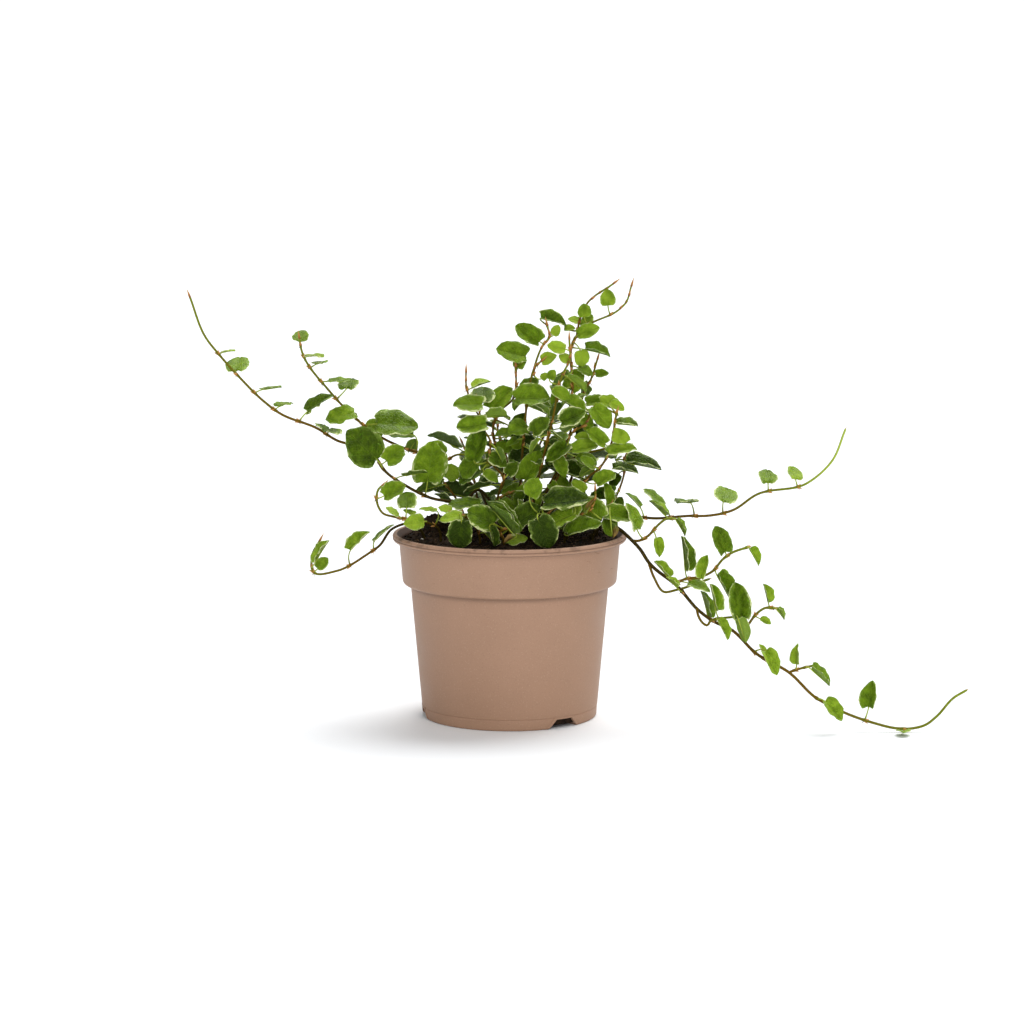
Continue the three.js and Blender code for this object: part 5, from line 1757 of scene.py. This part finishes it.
for azimuth in CHANNELS:
    ridge = radial_bar(
        "ridge", azimuth, CHANNEL_START - WALL, RIDGE_STOP, RIDGE_FOOT, CHANNEL_HEIGHT + WALL,
        2 * WALL,
    )
    combine(ridge, turned("hull", WITHIN_WALL, POT_SIDES), "INTERSECT")
    combine(pot, ridge, "UNION")
for azimuth in CHANNELS:
    channel = radial_bar(
        "channel", azimuth, CHANNEL_START, CHANNEL_STOP, CUT_FROM, CHANNEL_HEIGHT
    )
    combine(pot, channel, "DIFFERENCE")
    for radius in DRAIN_RADII:
        drain = turned("drain", DRAIN, DRAIN_SIDES)
        for vertex in drain.data.vertices:
            vertex.co += polar(azimuth, radius * MM)
        combine(pot, drain, "DIFFERENCE")
smooth_but_for_edges(pot)
print(len(pot.data.polygons), "faces in the pot")

# %% [markdown]
# ## Finish of the pot
# The plastic is recycled and matt: taupe, with specks a little darker and lighter than the rest,
# a faint grain, and brown traces of soil along the rim. Shade is painted on too: dark lines under
# the rim, in the groove of the lip and below the collar, a darkened inside of the collar above the
# soil, and a darker foot. Heights of the lines are measured on the pot, so the painted shade lies
# in its real creases.

# %% Pot finish
# where painted shadow lines run: under the lip of the rim, in its groove, and below the collar
RIM_SHADOW_LINE, LIP_CREASE = 0.09095, 0.09265  # heights of the dark lines, in metres
COLLAR_SHADE, COLLAR_EDGE = (0.0655, 0.068), (0.0688, 0.0685)  # heights, from none to full
COLLAR_SLOPE, COLLAR_AT = 0.083, 0.0484  # radius of the collar's inside, from the height
LIP_INSIDE = (0.0908, 0.0916, 0.0, 0.0577)  # and that of the lip: two heights, two radii
TAUPE = [(0.3, (0.35, 0.207, 0.135)), (0.7, (0.375, 0.224, 0.148))]
# the first colour is painted shade for the foot, the second painted shade for the creases, the
# third the colour of soil, also painted as shade inside the rim
LOW_PAINTED_SHADE, CREASE_SHADE, SOIL_AND_SHADE = (0.33, 0.19, 0.115), (0.1, 0.06, 0.04), (0.06, 0.032, 0.02)
DARK_SPECK, LIGHT_SPECK = (0.24, 0.15, 0.1), (0.56, 0.4, 0.3)

pot_finish, wires, shader, place = new_finish("taupe_plastic")
height = place.parts()[2]
specks, cloud = grain(place, 1500.0, 1.0), grain(place, 45.0, 4.0)
colour = shades(cloud, *TAUPE)
# painted shade: the pot darker and warmer towards its foot
colour = over(colour, height.step(0.06, 0.0, 0.0, 0.25), LOW_PAINTED_SHADE)

# painted shade in the creases under the rim, in the lip and below the collar
line = 1.0 - abs(height - RIM_SHADOW_LINE).step(0.0001, 0.00045)
lip_groove_shade = 1.0 - abs(height - LIP_CREASE).step(0.0001, 0.0004)
shade_below_collar = height.step(*COLLAR_SHADE) * height.step(*COLLAR_EDGE)
painted_crease_shade = (line * 0.75).math("MAXIMUM", lip_groove_shade * 0.45).math("MAXIMUM", shade_below_collar * 0.4)
colour = over(colour, painted_crease_shade, CREASE_SHADE)
colour = over(colour, specks.step(0.6, 0.72) * 0.3, DARK_SPECK)
colour = over(colour, specks.step(0.36, 0.27) * 0.28, LIGHT_SPECK)

# soil clings in patches to the rim; the inside of the collar above the soil is darkened, partly by
# clinging soil and partly as painted shade inside the rim
from_axis = place.vector("MULTIPLY", (1.0, 1.0, 0.0)).vector("LENGTH")
wall = (height * COLLAR_SLOPE + COLLAR_AT).math("MAXIMUM", height.step(*LIP_INSIDE))
# painted shade, with some soil: the inside of the collar above the soil
inside = (wall - from_axis).step(-0.0001, 0.0002) * height.step(0.08, 0.084)
rim_soil_and_shade = height.step(0.0905, 0.0945) * grain(place, 210.0).step(0.5, 0.68)
rim_soil_and_shade = (rim_soil_and_shade * 0.5).math("MAXIMUM", inside * 0.9)
colour = over(colour, rim_soil_and_shade, SOIL_AND_SHADE)
dress(
    shader, colour, cloud.step(0.3, 0.7, 0.46, 0.58), grain(place, 1100.0), 0.25, 0.0001,
    Specular_IOR_Level=0.25,
)
pot.data.materials.clear()
pot.data.materials.append(pot_finish)
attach(pot, "root")
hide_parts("pot")

# %% [markdown]
# ## The soil
# The peat fills the pot nearly to the brim, crowned in the middle, lumpy and loose, with a mound
# on each side. Its body is turned like the pot, with many rings on its top, which noise lifts and
# sinks.

# %% Body of the soil
SOIL_SIDES, SOIL_STEP = 120, 1.6
SOIL_BELOW = [(0, 1.7), (43.2, 1.7), (49.3, 69.8), (53, 72.6)]
SOIL_TOP = [(54.9, 90.4), (48, 91.8), (30, 92.6), (0, 93)]
MOUNDS = [(-39, 16, 9, 9), (-22, 28, 4, 13), (26, 26, 2.5, 16)]  # x, y, rise, breadth
LUMPY_ABOVE, LUMPY_WITHIN = 90.3, 54.8  # height and radius
EDGE, EDGE_FADE = 55, 4  # towards its edge the soil lies flatter
WAVES, LUMPS, BITS = 0.35, 1.3, 0.9  # how high they are, in millimetres


def lumpy(point):
    """Lifts the top of the soil a little, more towards the middle."""
    x, y, z = point / MM
    radius = math.hypot(x, y)
    if z < LUMPY_ABOVE or radius > LUMPY_WITHIN:
        return point
    lift = WAVES * (math.sin(x * 0.31 + 2) * math.cos(y * 0.37) + math.sin(x * 0.17 - y * 0.23))
    coarse, fine = Vector((x, y, 3)) * 0.16, Vector((x, y, 9)) * 0.45
    lift += LUMPS * noise.noise(coarse) + BITS * noise.noise(fine)
    for mound_x, mound_y, rise, breadth in MOUNDS:
        lift += rise * math.exp(-((x - mound_x) ** 2 + (y - mound_y) ** 2) / breadth**2)
    return Vector((x, y, z + lift * min(1, (EDGE - radius) / EDGE_FADE))) * MM


section = SOIL_BELOW + SOIL_TOP[:1]
for a, b in zip(map(Vector, SOIL_TOP), map(Vector, SOIL_TOP[1:])):
    steps = max(1, round((b - a).length / SOIL_STEP))
    section += [a.lerp(b, k / steps) for k in range(1, steps + 1)]
soil_body = turned("peat_body", section, SOIL_SIDES)
for vertex in soil_body.data.vertices:
    vertex.co = lumpy(vertex.co)
print(len(soil_body.data.polygons), "faces in the body of the soil")

# %% [markdown]
# ## Crumbs and fibres
# Loose peat is made of crumbs, of short dry fibres and of a few pale grains. There are well over
# a thousand crumbs, so one small shape serves for all of them and for the grains, another for the
# fibres, and both have as few faces as they can.

# %% A crumb and a fibre
FIBRE_PATH = ((-5, 0, 0), (-2.6, 0.9, 0.5), (0, 0.4, 0.9), (2.4, -0.8, 0.6), (5, -0.3, 0))
FIBRE_THICK = (0.1, 0.2, 0.22, 0.18, 0.05)
CRUMB_CORE, CRUMB_ROUGH = 0.72, 0.5


def crumb_shape():
    """A rough lump of twenty faces, one unit in radius."""
    work = bmesh.new()
    bmesh.ops.create_icosphere(work, subdivisions=1, radius=1)
    for n, vertex in enumerate(work.verts):
        vertex.co *= CRUMB_CORE + CRUMB_ROUGH * abs(noise.noise(Vector((n * 1.7, 0.3, 0.9))))
    crumb = added("crumb", bpy.data.meshes.new("crumb"))
    work.to_mesh(crumb.data)
    work.free()
    return crumb


def fibre_shape():
    """A thin bent thread, ten units long, with three sides."""
    angles = [2 * math.pi * k / 3 for k in range(3)]
    return loft("fibre", [
        [Vector(p) + Vector((0, math.cos(a), math.sin(a))) * thick for a in angles]
        for p, thick in zip(FIBRE_PATH, FIBRE_THICK)
    ])


crumb, fibre = crumb_shape(), fibre_shape()
print(len(crumb.data.polygons), "faces in a crumb,", len(fibre.data.polygons), "in a fibre")

# %% [markdown]
# ## Finish of the soil
# Damp peat is nearly black in its hollows and dark brown on its crumbs. Fibres are dry and
# lighter. The three finishes differ only in colour and scale, so one function makes them all.

# %% Soil finishes
def earth(name, dark, light, scale):
    """A rough earthy finish between two colours."""
    material, wires, shader, place = new_finish(name)
    colour = shades(grain(place, scale, 5.0, 0.65), (0.36, dark), (0.68, light))
    relief = grain(place, scale * 3)
    dress(shader, colour, 0.88, relief, 0.9, 0.0006, Specular_IOR_Level=0.12)
    return material


peat_finish = earth("peat", (0.004, 0.0025, 0.0016), (0.045, 0.024, 0.012), 300.0)
fibre_finish = earth("dry_fibre", (0.09, 0.045, 0.022), (0.3, 0.18, 0.09), 500.0)
grain_finish = earth("pale_grain", (0.35, 0.32, 0.27), (0.75, 0.73, 0.68), 600.0)

# %% [markdown]
# ## Scatter what is loose
# The tree scatters crumbs, fibres and grains over the top of the soil as instances, turned and
# sized by a fixed seed, and makes them real. Their numbers are densities, in pieces a square
# metre.

# %% Scatter crumbs, fibres and pale grains
wires, source, end = geometry_tree(
    "loose_peat", Object=["Crumb", "Fibre"], Int=["Seed"],
    Float=["Crumbs", "Fibres", "Pale grains", "Crumb size", "Fibre size"],
    Material=["Peat finish", "Fibre finish", "Grain finish"],
)
put = wires.put
TOP_FROM = 0.09  # what lies higher than this, in metres, is the top of the soil
high = put("GeometryNodeInputPosition").parts()[2].math("GREATER_THAN", TOP_FROM)


def random_vector(least, most, seed):
    """A vector of its own for each instance."""
    return put("FunctionNodeRandomValue", least, most, None, seed, data_type="FLOAT_VECTOR")


SIZE_SEED = 7.0  # so that the sizes don't follow the turns
FULL_TURN = 6.28


def scattered(shape, density, size, finish, extra_seed, tilt, spread):
    """Instances of a shape over the top, turned and sized at random, made real."""
    seed = source["Seed"] + float(extra_seed)
    feeds = (source["Geometry"], high, source[density], seed)
    points = put("GeometryNodeDistributePointsOnFaces", *feeds)
    turn = random_vector((-tilt, -tilt, 0.0), (tilt, tilt, FULL_TURN), seed)
    least, most = (1 - spread, 1 - spread, 0.7 - spread), (1 + spread, 1 + spread, 1.0)
    sizes = random_vector(least, most, seed + SIZE_SEED).vector("SCALE", source[size])
    made = placed(points, of_object(shape), turn, sizes)
    return put("GeometryNodeSetMaterial", made, None, source[finish])


body = put("GeometryNodeSetShadeSmooth", source["Geometry"])
wires.join(wires.joined(
    scattered("Crumb", "Pale grains", "Crumb size", "Grain finish", 31, 3.0, 0.45),
    scattered("Fibre", "Fibres", "Fibre size", "Fibre finish", 17, 0.35, 0.5),
    scattered("Crumb", "Crumbs", "Crumb size", "Peat finish", 3, 3.0, 0.55),
    put("GeometryNodeSetMaterial", body, None, source["Peat finish"]),
), end)

peat = grown("peat", soil_body.data, wires.tree, {
    "Crumb": crumb, "Fibre": fibre, "Seed": 5, "Crumbs": 190000.0, "Fibres": 26000.0,
    "Pale grains": 1900.0, "Crumb size": 0.85 * MM, "Fibre size": 0.55 * MM,
    "Peat finish": peat_finish, "Fibre finish": fibre_finish, "Grain finish": grain_finish,
})
clear_away(soil_body, crumb, fibre)
print(len(peat.data.polygons), "faces in the peat")
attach(peat, "root")
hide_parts("soil")

# %% [markdown]
# ## Floor, light and camera
# The plant stands on a white sheet in soft studio light: a large lamp high on the right behind
# it, a weaker one low in front, and white all round. The sheet is a touch blue, so its shadows
# are cool. The camera stands far back and looks down a little, as a product view does.

# %% Studio
SHEET_CORNERS = [(-4, -3, 0), (4, -3, 0), (4, 5, 0), (-4, 5, 0)]
SHEET_WHITE = (0.908, 0.927, 0.945, 1)
WORLD_LIGHT, WORLD_SEEN = 0.43, 1.1  # strength of the white all round, as light and as backdrop
CAMERA_AT, CAMERA_PITCH = (0.0012, -1.7, 0.35), 81.8  # metres, and degrees up from straight down

floor_finish, wires, shader, place = new_finish("white_sheet")
set_all_over(shader, Base_Color=SHEET_WHITE, Roughness=0.9, Specular_IOR_Level=0.1)
floor = solid("white_sheet", SHEET_CORNERS, [(0, 1, 2, 3)])
floor.data.materials.append(floor_finish)

world = bpy.data.worlds.new("studio")
scene.world = world
world.use_nodes = True
wires = Wires(world.node_tree)
seen = wires.put("ShaderNodeLightPath").out("Is Camera Ray")
background = world.node_tree.nodes["Background"]
background.inputs["Color"].default_value = (1, 1, 1, 1)
wires.join(seen.step(0.0, 1.0, WORLD_LIGHT, WORLD_SEEN), background.inputs["Strength"])


def soft_sun(name, towards, strength, spread=50):
    """Even light from one side of the sky; its spread in degrees softens the shadows."""
    lamp = bpy.data.lights.new(name, "SUN")
    lamp.energy, lamp.angle = strength, math.radians(spread)
    added(name, lamp).rotation_euler = Vector(towards).to_track_quat("-Z", "Y").to_euler()


soft_sun("key_light", (-0.3, -0.52, -1), 2.95)
soft_sun("front_light", (-0.15, 0.9, -0.45), 1.3)

camera = bpy.data.cameras.new("camera")
camera.lens, camera.sensor_width = 118.2, 36
viewer = added("camera", camera)
viewer.location = CAMERA_AT
viewer.rotation_euler = (math.radians(CAMERA_PITCH), 0, 0)
scene.camera = viewer
scene.view_settings.view_transform = "Standard"
print("camera", round(viewer.location.length, 2), "m from the foot of the pot")

# %% [markdown]
# ## Clear away
# The helper shapes have done their work.

# %% Finish
clear_away(blade, small_blade, sheath)
